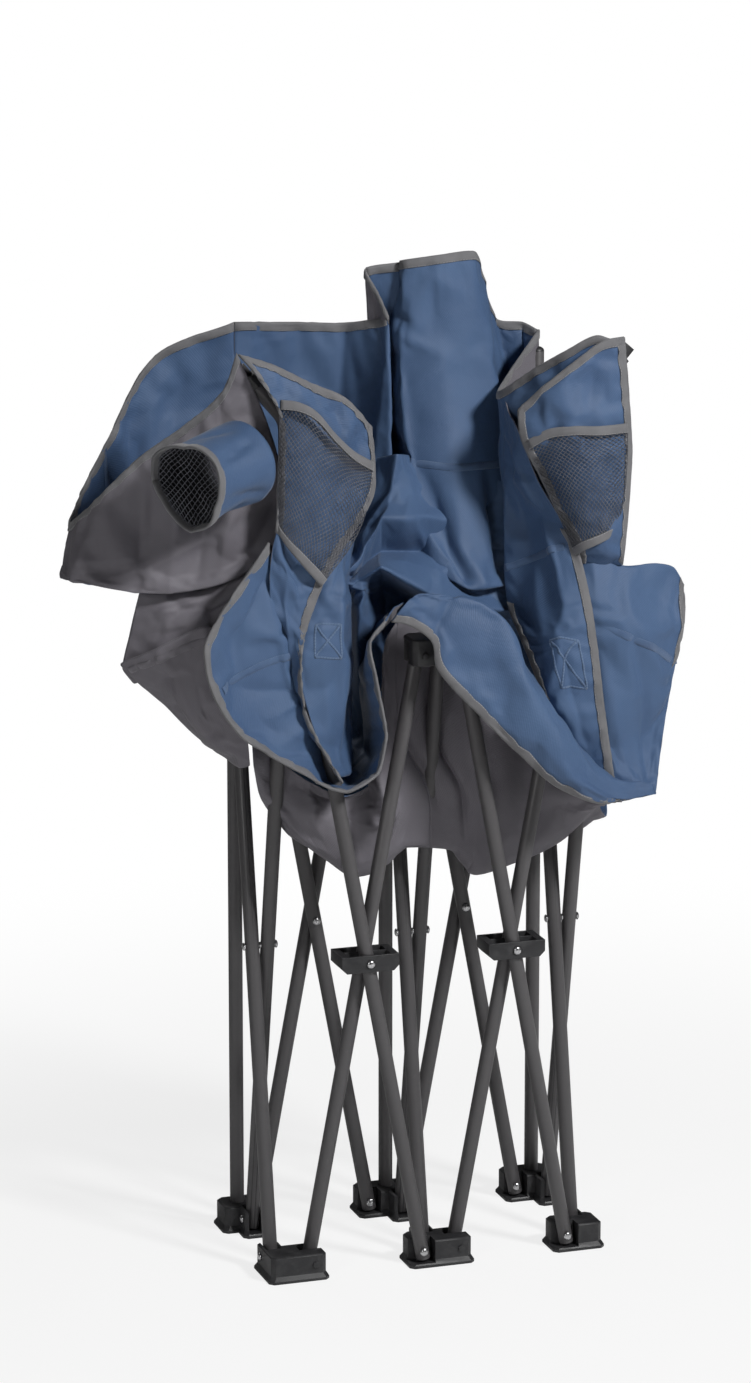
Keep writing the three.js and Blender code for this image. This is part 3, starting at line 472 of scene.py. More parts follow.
tape_finish = tape_material("binding_tape", TAPE, TAPE_PALE, THREAD_GREY, TAPE_ROWS, TAPE_RIB)
blue_seam = tape_material("blue_seam", BLUE, BLUE_PALE, (0.16, 0.23, 0.36), SEAM_ROWS, SEAM_RIB)
blue_stitch = tape_material("blue_stitch", BLUE, BLUE_PALE, (0.10, 0.16, 0.27), STITCH_ROW, SEAM_RIB,
                            STITCH_HALF)
grey_seam = tape_material("grey_seam", GREY, GREY_PALE, (0.20, 0.20, 0.21), SEAM_ROWS, SEAM_RIB)
print("made", tape_finish.name, blue_seam.name, blue_stitch.name, grey_seam.name)

# %% [markdown]
# ### Net
#
# The pockets and the bottom of the cup holder are open net. The holes are real geometry, so the
# material only has to look like thin dark monofilament.

# %% Net
NET = (0.066, 0.070, 0.086)
NET_PALE = (0.128, 0.134, 0.158)


def net_material():
    material, tree, shader = bare_material("net", NET, 0.45)
    lift = mapped(tree, speckle(tree, object_place(tree), 60, 3.0), 0.35, 0.65, 0, 1)
    feed(tree, shader, {"Base Color": blend_colours(tree, lift, NET, NET_PALE)})
    shader.inputs["Sheen Weight"].default_value = 0.15
    return material


net_finish = net_material()
print("made", net_finish.name)

# %% [markdown]
# ## The frame
#
# A crossing tube is 16 mm steel with a 1.2 mm wall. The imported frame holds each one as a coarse
# ten-sided rod, good for collisions. Here the same axis gets a round tube with a real bore and
# softened ends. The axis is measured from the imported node: the middle of its two end rings.

# %% Helpers for pieces
TUBE_RADIUS = 8 * MM
TUBE_WALL = 1.2 * MM
ROUND_SIDES = 32
MERGE = 0.01 * MM


def new_piece(name, shape, *materials, smooth_angle=40):
    """Turns a bmesh into a piece with its normals set by angle."""
    mesh = bpy.data.meshes.new(name)
    shape.to_mesh(mesh)
    shape.free()
    for material in materials:
        mesh.materials.append(material)
    mesh.polygons.foreach_set("use_smooth", [True] * len(mesh.polygons))
    mesh.set_sharp_from_angle(angle=math.radians(smooth_angle))
    piece = bpy.data.objects.new(name, mesh)
    bpy.context.scene.collection.objects.link(piece)
    return piece


def rod_axis(node):
    """The two end points of a straight rod's axis, the lower one first."""
    points = np.array([v.co for v in frame["nodes"][node].data.vertices])
    centre = (points.min(0) + points.max(0)) / 2
    direction = np.linalg.svd(points - points.mean(0), full_matrices=False)[2][0]
    for _ in range(3):
        reach = (points - centre) @ direction
        low = points[reach < reach.min() + MM].mean(0)
        high = points[reach > reach.max() - MM].mean(0)
        centre = (low + high) / 2
        direction = (high - low) / np.linalg.norm(high - low)
    return (Vector(low), Vector(high)) if low[2] < high[2] else (Vector(high), Vector(low))


def turned_to(axis):
    return Vector(axis).normalized().to_track_quat("Z", "Y").to_matrix().to_4x4()


low, high = rod_axis("front_left_tube_outward")
print("length of one tube", round((high - low).length, 4))


# %% Round tubes
RIM_ANGLE = math.radians(60)
RIM_RADIUS = 0.3 * TUBE_WALL


def edges_in(geometry):
    return [part for part in geometry if isinstance(part, bmesh.types.BMEdge)]


def extruded(shape, edges):
    """Extrudes a ring of edges in place: the points and the edges of the new ring."""
    made = bmesh.ops.extrude_edge_only(shape, edges=edges)["geom"]
    return [part for part in made if isinstance(part, bmesh.types.BMVert)], edges_in(made)


def sharp_edges(shape, angle):
    return [e for e in shape.edges if len(e.link_faces) == 2 and e.calc_face_angle() > angle]


def rounded(shape, edges, radius, segments, **settings):
    bmesh.ops.bevel(shape, geom=edges, offset=radius, segments=segments, profile=0.5,
                    affect="EDGES", material=-1, **settings)


def round_tube(name, low, high):
    """A tube from a ring that is extruded up, in over the rim, down the bore and back."""
    shape = bmesh.new()
    length = (high - low).length
    bmesh.ops.create_circle(shape, segments=ROUND_SIDES, radius=TUBE_RADIUS)
    edges = list(shape.edges)
    for size, height in ((1, length), (1 - TUBE_WALL / TUBE_RADIUS, 0), (1, -length)):
        verts, edges = extruded(shape, edges)
        bmesh.ops.scale(shape, vec=(size, size, 1), verts=verts)
        bmesh.ops.translate(shape, vec=(0, 0, height), verts=verts)
    open_edges = [edge for edge in shape.edges if edge.is_boundary]
    bmesh.ops.bridge_loops(shape, edges=open_edges)
    bmesh.ops.recalc_face_normals(shape, faces=shape.faces)
    rounded(shape, sharp_edges(shape, RIM_ANGLE), RIM_RADIUS, 2)
    bmesh.ops.transform(shape, matrix=Matrix.Translation(low) @ turned_to(high - low), verts=shape.verts)
    return new_piece(name, shape, tube_finish)


bodies = frame["record"]["behaviour"]["bodies"]
body_of_node = {node: body for body, nodes in bodies.items() for node in nodes}


def stand_in(piece, node):
    """The piece moves with the node's body and takes its place."""
    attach(piece, body_of_node[node])
    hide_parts(node)
    return piece


crossing = [node for node in frame["nodes"] if "_tube_" in node]
uprights = ["left_post", "centre_post", "right_post"]
for node in crossing + uprights:
    stand_in(round_tube(node + "_round", *rod_axis(node)), node)
print("round tubes", len(crossing) + len(uprights))

# %% [markdown]
# ### Arm posts
#
# An arm post stands in the front bracket, bends outwards under the corner of the arm cloth and
# ends in a plastic clip. A ring is extruded up, spun about the bend and extruded again.

# %% Arm posts
ARM_BEND_HEIGHT = 950 * MM
ARM_BEND_RADIUS = 30 * MM
ARM_LEAN = math.radians(41)
ARM_TIP = 52 * MM
BEND_STEPS = 10


def lifted(shape, edges, move):
    verts, edges = extruded(shape, edges)
    bmesh.ops.translate(shape, vec=move, verts=verts)
    return edges


def arm_post(node, side):
    low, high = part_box(node)
    foot = Vector((side * FRONT_PITCH, (low.y + high.y) / 2, low.z))
    shape = bmesh.new()
    bmesh.ops.create_circle(shape, cap_ends=True, segments=ROUND_SIDES, radius=TUBE_RADIUS,
                            matrix=Matrix.Translation(foot))
    edges = lifted(shape, list(shape.edges), Vector((0, 0, ARM_BEND_HEIGHT - foot.z)))
    centre = Vector((foot.x + side * ARM_BEND_RADIUS, foot.y, ARM_BEND_HEIGHT))
    bent = bmesh.ops.spin(shape, geom=edges, cent=centre, axis=(0, 1, 0), angle=side * ARM_LEAN,
                          steps=BEND_STEPS, use_duplicate=False)["geom_last"]
    away = Vector((side * math.sin(ARM_LEAN), 0, math.cos(ARM_LEAN)))
    edges = lifted(shape, edges_in(bent), away * ARM_TIP)
    bmesh.ops.holes_fill(shape, edges=edges, sides=ROUND_SIDES)
    bmesh.ops.remove_doubles(shape, verts=shape.verts, dist=MERGE)
    bmesh.ops.recalc_face_normals(shape, faces=shape.faces)
    return new_piece(node + "_round", shape, tube_finish)


for node, side in (("left_arm_post", -1), ("right_arm_post", 1)):
    stand_in(arm_post(node, side), node)
print("arm posts made")

# %% [markdown]
# ### Moulded blocks
#
# Feet, brackets, sliders and hubs are nylon mouldings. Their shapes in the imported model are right
# but knife-sharp, which no moulding is. A copy of each mesh is merged, its flat faces are joined
# up, and every real edge gets a small radius.

# %% Moulded blocks
MOULD_RADIUS = 0.9 * MM
FLAT_ANGLE = math.radians(1)
SHARP_ANGLE = math.radians(30)


def softened(node, radius, segments=3):
    """A copy of a node's mesh, merged, with its flat faces joined and its edges rounded."""
    shape = bmesh.new()
    shape.from_mesh(frame["nodes"][node].data)
    bmesh.ops.remove_doubles(shape, verts=shape.verts, dist=MERGE)
    bmesh.ops.dissolve_limit(shape, angle_limit=FLAT_ANGLE, verts=shape.verts, edges=shape.edges)
    rounded(shape, sharp_edges(shape, SHARP_ANGLE), radius, segments, clamp_overlap=True)
    return shape


moulded = [node for node in frame["nodes"] if node.endswith(("_foot", "_bracket", "_slider", "_hub"))]
for node in moulded:
    piece = new_piece(node + "_moulded", softened(node, MOULD_RADIUS), nylon_finish, smooth_angle=35)
    stand_in(piece, node)
print("moulded blocks", len(moulded))

# %% [markdown]
# ### Caps, clips and rivets
#
# The plugs in the uprights are turned domes, made by spinning a short profile. The arm clips and
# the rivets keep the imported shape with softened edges; each rivet also gets a domed head at both
# ends, because a set rivet is never flat.

# %% Caps and clips
CAP_DOME = 5 * MM
CAP_STEPS = 8
PLUG_RADIUS = TUBE_RADIUS - 2 * TUBE_WALL
CLIP_RADIUS = 0.4 * MM


def post_cap(node):
    low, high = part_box(node)
    middle = (low + high) / 2
    shape = bmesh.new()
    profile = [(0, low.z), (PLUG_RADIUS, low.z), (PLUG_RADIUS, high.z - CAP_DOME)]
    for k in range(CAP_STEPS + 1):
        turn = math.pi / 2 * k / CAP_STEPS
        profile.append((TUBE_RADIUS * math.cos(turn), high.z - CAP_DOME * (1 - math.sin(turn))))
    verts = [shape.verts.new((middle.x + r, middle.y, z)) for r, z in profile]
    edges = [shape.edges.new(pair) for pair in zip(verts, verts[1:])]
    bmesh.ops.spin(shape, geom=verts + edges, cent=middle, axis=(0, 0, 1), angle=2 * math.pi,
                   steps=ROUND_SIDES, use_merge=True)
    bmesh.ops.remove_doubles(shape, verts=shape.verts, dist=MERGE)
    bmesh.ops.recalc_face_normals(shape, faces=shape.faces)
    return new_piece(node + "_turned", shape, nylon_finish)


for post in uprights:
    stand_in(post_cap(post + "_cap"), post + "_cap")
for node in ("left_arm_clip", "right_arm_clip"):
    stand_in(new_piece(node + "_pressed", softened(node, CLIP_RADIUS), nylon_finish), node)
print("caps and clips made")

# %% Rivet heads
HEAD_RADIUS = 4.6 * MM
HEAD_DOME = 2.2 * MM
HEAD_SIDES = 20
HEAD_SUNK = 1 * MM
RIVET_RADIUS = 0.3 * MM


def domed_head(shape, place, axis):
    """Half a ball, flattened, with its flat side at place and its crown along axis."""
    before = set(shape.verts)
    ball = bmesh.ops.create_uvsphere(shape, u_segments=HEAD_SIDES, v_segments=HEAD_SIDES // 2,
                                     radius=1)["verts"]
    faces = {face for vert in ball for face in vert.link_faces}
    edges = {edge for vert in ball for edge in vert.link_edges}
    cut = bmesh.ops.bisect_plane(shape, geom=[*ball, *edges, *faces], plane_co=(0, 0, 0),
                                 plane_no=(0, 0, 1), clear_inner=True)
    bmesh.ops.edgeloop_fill(shape, edges=edges_in(cut["geom_cut"]))
    verts = [vert for vert in shape.verts if vert not in before]
    bmesh.ops.scale(shape, vec=(HEAD_RADIUS, HEAD_RADIUS, HEAD_DOME), verts=verts)
    bmesh.ops.transform(shape, matrix=Matrix.Translation(place) @ turned_to(axis), verts=verts)


rivets = [node for node in frame["nodes"] if node.endswith("_rivet")]
for node in rivets:
    low, high = rod_axis(node)
    along = (high - low).normalized()
    shape = softened(node, RIVET_RADIUS, 2)
    domed_head(shape, high - along * HEAD_SUNK, along)
    domed_head(shape, low + along * HEAD_SUNK, -along)
    stand_in(new_piece(node + "_set", shape, steel_finish), node)
print("rivets", len(rivets))

# %% [markdown]
# ### Pin heads in the feet, brackets and sliders
#
# Each moulded block holds its tubes on plated pins. A pin lies at a joint of the frame or at a
# tube's end that rests in the block, so the tubes say where the heads are: on the front face for
# the tubes of a row, and on the outer face of the lug for a side tube.

# %% Pin heads
PAST_PIN = 10 * MM
FRONT_HEAD = TUBE_RADIUS + 2.1 * MM
SIDE_HEAD = 12.8 * MM


def pins_of(node):
    """The places of a tube's two pins: the tube goes on a little past each."""
    low, high = rod_axis(node)
    along = (high - low).normalized()
    return low + along * PAST_PIN, high - along * PAST_PIN


def block_near(place):
    """The moulded block whose box, made a millimetre larger, holds the place."""
    for node in moulded:
        low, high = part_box(node)
        if all(low[k] - MM <= place[k] <= high[k] + MM for k in range(3)):
            return node


heads = {}
for node in crossing:
    for place in pins_of(node):
        heads.setdefault(block_near(place), []).append((place, "side" in node))
for block, places in heads.items():
    shape = bmesh.new()
    for place, is_side in places:
        axis = Vector((1 if place.x > 0 else -1, 0, 0)) if is_side else Vector((0, -1, 0))
        domed_head(shape, place + axis * (SIDE_HEAD if is_side else FRONT_HEAD), axis)
    piece = new_piece(block + "_pin_heads", shape, steel_finish)
    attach(piece, body_of_node[block])
print("blocks with pin heads", len(heads))

# %% [markdown]
# ## The cloth as surfaces
#
# A hanging sheet could be cut flat and dropped by a simulation, but then its folds would fall
# where chance puts them. The seat was photographed in one state, so each sheet starts from a
# table, which has rows of points from the top edge down. A plain point was read off the
# photograph at a fold: across and down in its pixels, then how far back the cloth lies there in
# millimetres, judged from the frame around it. The camera's own lines of sight turn it into a
# place. A tied point belongs to the frame instead and is given as shares of its three lengths. A
# smooth curve through each row, and then down each column, makes the surface, and a short
# simulation afterwards gives it the small buckles.

# %% Where a point of a table is
MIDDLE_X, MIDDLE_Y = PICTURE_WIDTH / 2, PICTURE_HEIGHT / 2


def seen(x, y, depth):
    """The place that the photograph shows at pixel x, y, when it lies depth millimetres back."""
    sight = right * (x - MIDDLE_X) / FOCAL_PIXELS - up * (y - MIDDLE_Y) / FOCAL_PIXELS - back
    return np.array(camera.location + sight * ((depth * MM - camera.location.y) / sight.y))


def tied(across, behind, high):
    """A place on the frame, as shares of the rear pitch, the row depth and the top pins' height."""
    return np.array((across, behind, high)) * LENGTHS


def placed(row):
    return np.array([seen(*point) if isinstance(point, tuple) else point for point in row])


# %% A smooth surface from a table
SPACING = 6 * MM
LEAST_STEPS = 4


def curve_through(points, count, crisp=0.0):
    """count points along the centripetal Catmull-Rom curve through points.

    crisp draws the curve towards the straight lines between the points, which leaves creases.
    """
    points = np.asarray(points, float)
    before, after = 2 * points[0] - points[1], 2 * points[-1] - points[-2]
    p = np.concatenate([[before], points, [after]])
    where = np.linspace(0, len(points) - 1, count)
    k = np.minimum(where.astype(int), len(points) - 2)
    t = (where - k)[:, None]
    a, b, c, d = p[k], p[k + 1], p[k + 2], p[k + 3]
    gaps = [np.linalg.norm(y - x, axis=1) for x, y in ((a, b), (b, c), (c, d))]
    step = [np.maximum(gap, MM)[:, None] ** 0.5 for gap in gaps]
    first = (b - a) / step[0] - (c - a) / (step[0] + step[1]) + (c - b) / step[1]
    last = (c - b) / step[1] - (d - b) / (step[1] + step[2]) + (d - c) / step[2]
    first, last = first * step[1], last * step[1]
    bend = -3 * b + 3 * c - 2 * first - last
    smooth = b + t * (first + t * (bend + t * (2 * b - 2 * c + first + last)))
    return smooth + crisp * (b + t * (c - b) - smooth)


def length_of(points):
    return np.linalg.norm(np.diff(points, axis=0), axis=1).sum()


def run_along(points):
    """The distance walked along a line of points, at each of them."""
    return np.concatenate([[0], np.cumsum(np.linalg.norm(np.diff(points, axis=0), axis=1))])


def surface(table, crisp=(0, 0)):
    """Points of a sheet, indexed across, then down; crisp is for the two directions."""
    rows = [placed(row) for row in table]
    across = max(LEAST_STEPS, round(max(length_of(row) for row in rows) / SPACING)) + 1
    smooth = np.array([curve_through(row, across, crisp[0]) for row in rows])
    drop = max(length_of(smooth[:, k]) for k in range(across))
    down = max(LEAST_STEPS, round(drop / SPACING)) + 1
    return np.array([curve_through(smooth[:, k], down, crisp[1]) for k in range(across)])


def cloth_uv(points):
    """u and v in metres along the cloth, for each point of a surface."""
    along = np.linalg.norm(np.diff(points, axis=0), axis=2).mean(1)
    fall = np.linalg.norm(np.diff(points, axis=1), axis=2).mean(0)
    u = np.concatenate([[0], np.cumsum(along)])
    v = np.concatenate([[0], np.cumsum(fall)])
    return np.stack(np.broadcast_arrays(u[:, None], v[None, :]), axis=2)


print("curve test", np.round(curve_through([[0, 0, 0], [1, 0, 0], [2, 1, 0]], 5)[2], 3))


# %% A piece from a surface
CLOTH_THICKNESS = 1.2 * MM


def grid_piece(name, points, uv, materials):
    """A grid whose points are moved onto the surface, with its UV map in metres.

    It comes with the order of its points: where in the surface each of them belongs.
    """
    steps_u, steps_v = points.shape[0] - 1, points.shape[1] - 1
    shape = bmesh.new()
    bmesh.ops.create_grid(shape, x_segments=steps_u, y_segments=steps_v, size=0.5, calc_uvs=True)
    layer = shape.loops.layers.uv.new("cloth")
    shape.verts.index_update()
    order = [(round((vert.co.x + 0.5) * steps_u), round((vert.co.y + 0.5) * steps_v))
             for vert in shape.verts]
    for face in shape.faces:
        for loop in face.loops:
            loop[layer].uv = uv[order[loop.vert.index]]
    for vert, place in zip(shape.verts, order):
        vert.co = points[place]
    return new_piece(name, shape, *materials, smooth_angle=180), order


print("grid pieces ready")


# %% [markdown]
# ## What each sheet is
#
# Each row below is one sewn panel: its table, which cloth faces the table's normal side and which
# its other side, the edges that carry binding tape, and how it moves as the seat opens. A panel
# given two bodies is fixed where it lies and follows neither.

# %% Tables of the sheets
BACK_LEFT = [
    [(234, 323, 171), (295, 323, 192), (344, 324, 189), (375, 320, 166), (388, 317, 150),
     (377, 292, 156), (365, 269, 162), (401, 263, 158)],
    [(234, 396, 171), (292, 388, 198), (340, 389, 192), (372, 390, 158), (388, 389, 138),
     (378, 385, 170), (368, 382, 190), (400, 372, 160)],
    [(235, 487, 171), (289, 480, 205), (335, 479, 192), (367, 478, 152), (387, 478, 130),
     (378, 476, 168), (370, 475, 192), (400, 475, 160)],
    [(235, 583, 171), (289, 574, 199), (330, 574, 185), (361, 575, 148), (380, 575, 126),
     (374, 572, 165), (370, 570, 192), (398, 567, 158)],
]
BACK_RIGHT = [
    [(401, 262, 174), (403, 261, 148), (438, 256, 138), (474, 252, 148), (480, 268, 180),
     (497, 320, 202), (522, 323, 200), tied(1, 1.02, 1.45)],
    [tied(0.01, 1, 1.43), (404, 350, 140), (445, 350, 122), (491, 350, 138), (494, 352, 175),
     (508, 372, 202), (525, 372, 202), tied(1, 1.02, 1.36)],
    [tied(0.01, 0.99, 1.275), (412, 440, 122), (455, 445, 98), (505, 440, 120), (506, 440, 165),
     (514, 450, 200), (528, 450, 205), tied(1, 1.02, 1.23)],
    [tied(0.01, 0.97, 1.145), (425, 515, 100), (462, 520, 72), (507, 515, 95), (509, 515, 150),
     (516, 520, 190), (530, 520, 200), tied(1, 1.02, 1.115)],
    [tied(0.02, 0.95, 1.045), (440, 575, 75), (470, 590, 50), (508, 585, 70), (511, 580, 125),
     (518, 580, 165), (530, 580, 185), tied(1, 1.02, 1.05)],
]
ARM_LEFT = [
    [(234, 323, 171), (155, 357, 178), (108, 440, 150), (75, 508, 112), (70, 523, 88), (80, 516, 62),
     (141, 457, 32), (182, 428, 16), (222, 393, 4), (237, 354, -4)],
    [tied(-0.99, 0.96, 1.36), (158, 430, 182), (115, 490, 155), (72, 535, 108), (66, 545, 85),
     (74, 545, 62), (140, 510, 32), (185, 480, 20), (228, 450, 10), (268, 424, 8)],
    [(235, 487, 171), (165, 500, 180), (120, 540, 150), (68, 560, 100), (61, 566, 80), (70, 570, 55),
     (140, 555, 28), (188, 540, 18), (232, 520, 10), (284, 488, 10)],
    [tied(-0.99, 0.96, 1.13), (170, 560, 176), (125, 575, 140), (68, 575, 95), (61, 578, 75),
     (72, 581, 50), (139, 593, 25), (185, 592, 14), (232, 580, 6), (285, 545, 6)],
]
ARM_RIGHT = [
    [tied(1.01, 1.02, 1.45), (505, 380, 120), (500, 392, 84), (530, 372, 48), (565, 352, 20),
     tied(1.02, 0.04, 1.48), tied(1.1, 0.02, 1.475)],
    [tied(1.01, 1.02, 1.345), (508, 420, 110), (503, 432, 82), (535, 425, 46), tied(0.89, 0.14, 1.355),
     tied(1.08, 0.1, 1.37), tied(1.22, 0.06, 1.38)],
    [tied(1.01, 1.02, 1.23), (512, 480, 105), (510, 490, 80), (545, 490, 46), tied(0.96, 0.15, 1.24),
     tied(1.13, 0.12, 1.25), tied(1.25, 0.08, 1.265)],
    [tied(1.01, 1.02, 1.13), (518, 540, 100), (520, 550, 76), (555, 550, 46), tied(1.02, 0.17, 1.14),
     tied(1.14, 0.12, 1.14), tied(1.21, 0.08, 1.13)],
]
SIDE_LEFT_UPPER = [
    [(150, 562, 58), (182, 566, 46), (216, 560, 36), (258, 530, 24)],
    [(139, 594, 42), (172, 598, 30), (212, 592, 20), (258, 560, 12)],
    [(130, 632, 44), (166, 624, 24), (206, 614, 10), (256, 590, 2)],
    [(122, 668, 50), (162, 654, 24), (200, 644, 8), (250, 650, 2)],
    [(134, 684, 54), (170, 670, 28), (206, 664, 12), (250, 680, 4)],
]
SIDE_LEFT = [
    [(119, 664, 45), (157, 648, 14), (186, 634, 0), (204, 626, -10), (240, 634, -6)],
    [(140, 684, 48), (170, 674, 20), (192, 668, 4), (210, 666, -8), (240, 668, -6)],
    [(164, 704, 50), (186, 702, 26), (200, 702, 10), (214, 704, -4), (242, 706, -4)],
    [(190, 730, 54), (204, 732, 34), (216, 734, 18), (226, 738, 4), (248, 742, 0)],
    [(216, 752, 60), (226, 758, 42), (236, 766, 28), (240, 768, 16), (250, 766, 4)],
]
PANEL_LEFT = [
    [(239, 355, -5), (274, 366, -5), (309, 383, -2), (345, 399, 5), (371, 427, 18)],
    [(259, 379, -12), (288, 398, -16), (318, 413, -12), (347, 429, -2), (374, 466, 14)],
    [(280, 416, -18), (302, 444, -25), (326, 453, -21), (350, 466, -11), (373, 493, 7)],
    [(278, 478, -22), (300, 488, -28), (321, 493, -27), (342, 505, -14), (358, 523, 0)],
    [(276, 533, -23), (292, 543, -28), (306, 551, -26), (319, 559, -20), (331, 566, -14)],
    [(272, 550, -22), (285, 566, -26), (296, 580, -26), (306, 591, -24), (316, 600, -22)],
    [(270, 599, -20), (282, 615, -23), (290, 628, -28), (297, 639, -31), (302, 649, -34)],
    [(286, 664, 6), (292, 674, -4), (296, 686, -16), (301, 699, -26), (306, 713, -36)],
    [(322, 750, 2), (326, 757, -8), (331, 765, -20), (336, 773, -32), (342, 783, -42)],
]
INNER_LEFT = [
    [(338, 536, 4), (342, 538, 16), (346, 540, 36), (350, 541, 60), (354, 542, 92)],
    [(326, 572, -10), (334, 573, -6), (341, 574, 2), (346, 574, 28), (350, 576, 62)],
    [(312, 602, -16), (328, 602, -20), (345, 603, -18), (350, 603, 6), (351, 604, 44)],
    [(302, 632, -26), (322, 630, -28), (344, 630, -26), (350, 632, 0), (351, 636, 38)],
    [(300, 655, -30), (322, 655, -30), (345, 656, -25), (351, 658, 4), (352, 662, 38)],
    [(302, 690, -28), (322, 692, -27), (344, 694, -20), (350, 698, 8), (352, 702, 38)],
    [(318, 742, -36), (328, 744, -28), (341, 746, -14), (348, 750, 14), (350, 756, 38)],
    [(336, 776, -38), (340, 777, -34), (344, 777, -26), (348, 776, -6), (350, 772, 14)],
]
PANEL_RIGHT = [
    [(518, 410, 18), (545, 386, 4), (575, 362, -4), tied(1.04, -0.03, 1.474), tied(1.18, -0.01, 1.478)],
    [(522, 440, 16), (548, 425, 0), (578, 412, -10), (604, 402, -12), (628, 395, -4)],
    [(540, 475, 12), (562, 465, -4), (586, 458, -14), (610, 455, -14), (631, 452, -4)],
    [(558, 512, 6), (576, 508, -8), (596, 505, -16), (614, 505, -14), (628, 505, -4)],
    [(578, 548, -2), (590, 548, -10), (602, 548, -14), (614, 550, -12), (623, 558, -4)],
    [(578, 566, 10), (588, 568, 8), (598, 569, 8), (610, 570, 10), (620, 572, 12)],
]
INNER_RIGHT = [
    [(505, 399, 75), (509, 412, 61), (513, 420, 44), (518, 430, 22)],
    [(504, 470, 71), (514, 474, 53), (527, 479, 36), (540, 484, 14)],
    [(504, 539, 69), (521, 539, 48), (547, 539, 20), (575, 544, -2)],
    [(507, 600, 60), (526, 605, 30), (559, 604, -18), (589, 597, -24)],
    [(526, 649, 14), (540, 646, -12), (561, 641, -28), (597, 650, -32)],
    [(547, 706, -16), (560, 708, -30), (579, 710, -32), (604, 711, -34)],
    [(572, 782, -6), (586, 784, -16), (599, 784, -27), (614, 782, -34)],
]
SEAT_LEFT = [
    [(269, 543, -18), (205, 646, -55), (215, 698, -62), (242, 737, -61), (294, 769, -53),
     (345, 792, -46), (377, 775, -39), (386, 736, -37), (376, 679, -36), (370, 642, -34),
     (386, 621, -32)],
    [(280, 556, -10), (238, 640, -36), (247, 690, -42), (268, 722, -40), (307, 756, -28), (346, 784, 0),
     (370, 766, 8), (379, 730, 10), (371, 680, 8), (366, 640, 4), (392, 610, -10)],
    [(290, 574, -6), (284, 633, -26), (291, 675, -28), (300, 702, -24), (320, 736, 10), (347, 770, 60),
     (364, 752, 66), (370, 724, 68), (366, 682, 66), (364, 640, 50), (397, 606, 20)],
    [(308, 588, 30), (302, 630, 34), (304, 660, 38), (308, 684, 44), (330, 706, 84), (350, 742, 112),
     (358, 728, 118), (362, 708, 120), (362, 680, 120), (360, 640, 110), (404, 602, 60)],
]
SEAT_RIGHT = [
    [(392, 621, -30), (408, 624, -30), (432, 641, -32), (438, 668, -36), (480, 715, -46),
     (520, 754, -54), (560, 788, -60), (600, 802, -62), (656, 794, -48)],
    [(402, 608, -34), (420, 605, -34), (448, 618, -38), (470, 640, -44), (505, 690, -54),
     (540, 735, -62), (575, 772, -66), (610, 792, -64), (656, 793, -46)],
    [(412, 598, -26), (428, 592, -26), (460, 596, -28), (500, 619, -34), (530, 665, -44),
     (558, 710, -52), (585, 750, -58), (612, 779, -58), (655, 791, -44)],
    [(420, 604, -2), (434, 598, -2), (464, 602, -4), (500, 628, -8), (530, 672, -14), (558, 716, -20),
     (585, 752, -26), (613, 776, -31), (653, 784, -40)],
]
FLAP_RIGHT = [
    [(572, 556, 10), (594, 556, 2), (625, 566, 3), (655, 563, 10), (674, 567, 15), (683, 584, 14)],
    [(575, 615, -6), (598, 618, -23), (628, 622, -26), (655, 626, -8), (674, 626, 4), (684, 619, 6)],
    [(580, 680, -8), (602, 681, -22), (629, 690, -24), (652, 690, -18), (664, 690, -6), (672, 680, -2)],
    [(590, 740, -18), (610, 741, -26), (629, 748, -28), (645, 748, -24), (654, 746, -16),
     (662, 741, -11)],
    [(604, 780, -30), (620, 781, -35), (634, 786, -39), (645, 790, -41), (651, 791, -37),
     (656, 793, -34)],
]
INTERIOR = [
    [(348, 468, 116), (376, 458, 122), (397, 454, 92), (412, 456, 130), (434, 470, 122), (470, 480, 114),
     (508, 480, 108)],
    [(344, 558, 112), (364, 520, 114), (392, 490, 88), (414, 486, 94), (436, 500, 110), (470, 502, 104),
     (508, 502, 100)],
    [(343, 577, 46), (364, 542, 58), (383, 516, 58), (408, 515, 56), (430, 513, 72), (470, 522, 96),
     (508, 524, 94)],
    [(342, 580, 62), (360, 560, 72), (380, 545, 88), (406, 545, 94), (430, 545, 100), (470, 550, 96),
     (508, 552, 92)],
    [(342, 580, 48), (360, 567, 52), (379, 554, 50), (405, 555, 58), (432, 563, 66), (470, 579, 74),
     (508, 594, 80)],
    [(342, 583, 38), (360, 574, 40), (381, 561, 22), (407, 575, 28), (432, 590, 32), (470, 602, 38),
     (530, 612, 64)],
    [(347, 592, 72), (366, 586, 32), (384, 582, 110), (406, 592, 120), (432, 600, 92), (470, 612, 64),
     (548, 628, 70)],
    [(350, 610, 84), (366, 610, 34), (384, 606, 122), (406, 606, 126), (432, 612, 96), (470, 625, 66),
     (560, 645, 66)],
    [(351, 640, 100), (364, 640, 52), (384, 640, 124), (410, 640, 128), (440, 640, 96), (475, 655, 64),
     (572, 700, 50)],
    [(350, 740, 118), (370, 760, 118), (392, 745, 116), (425, 730, 114), (470, 735, 92), (520, 760, 62),
     (580, 792, 20)],
]
FRONT_LINING = [
    [(252, 740, 54), (306, 780, 54), (345, 797, 54), (376, 780, 54), (385, 640, 52), (410, 608, 52),
     (456, 640, 54), (510, 705, 50), (560, 755, 44), (618, 786, 34)],
    [(254, 768, 50), (306, 800, 46), (345, 812, 40), (376, 802, 38), (392, 745, 38), (420, 728, 40),
     (460, 752, 36), (508, 774, 32), (560, 796, 32), (606, 804, 34)],
]
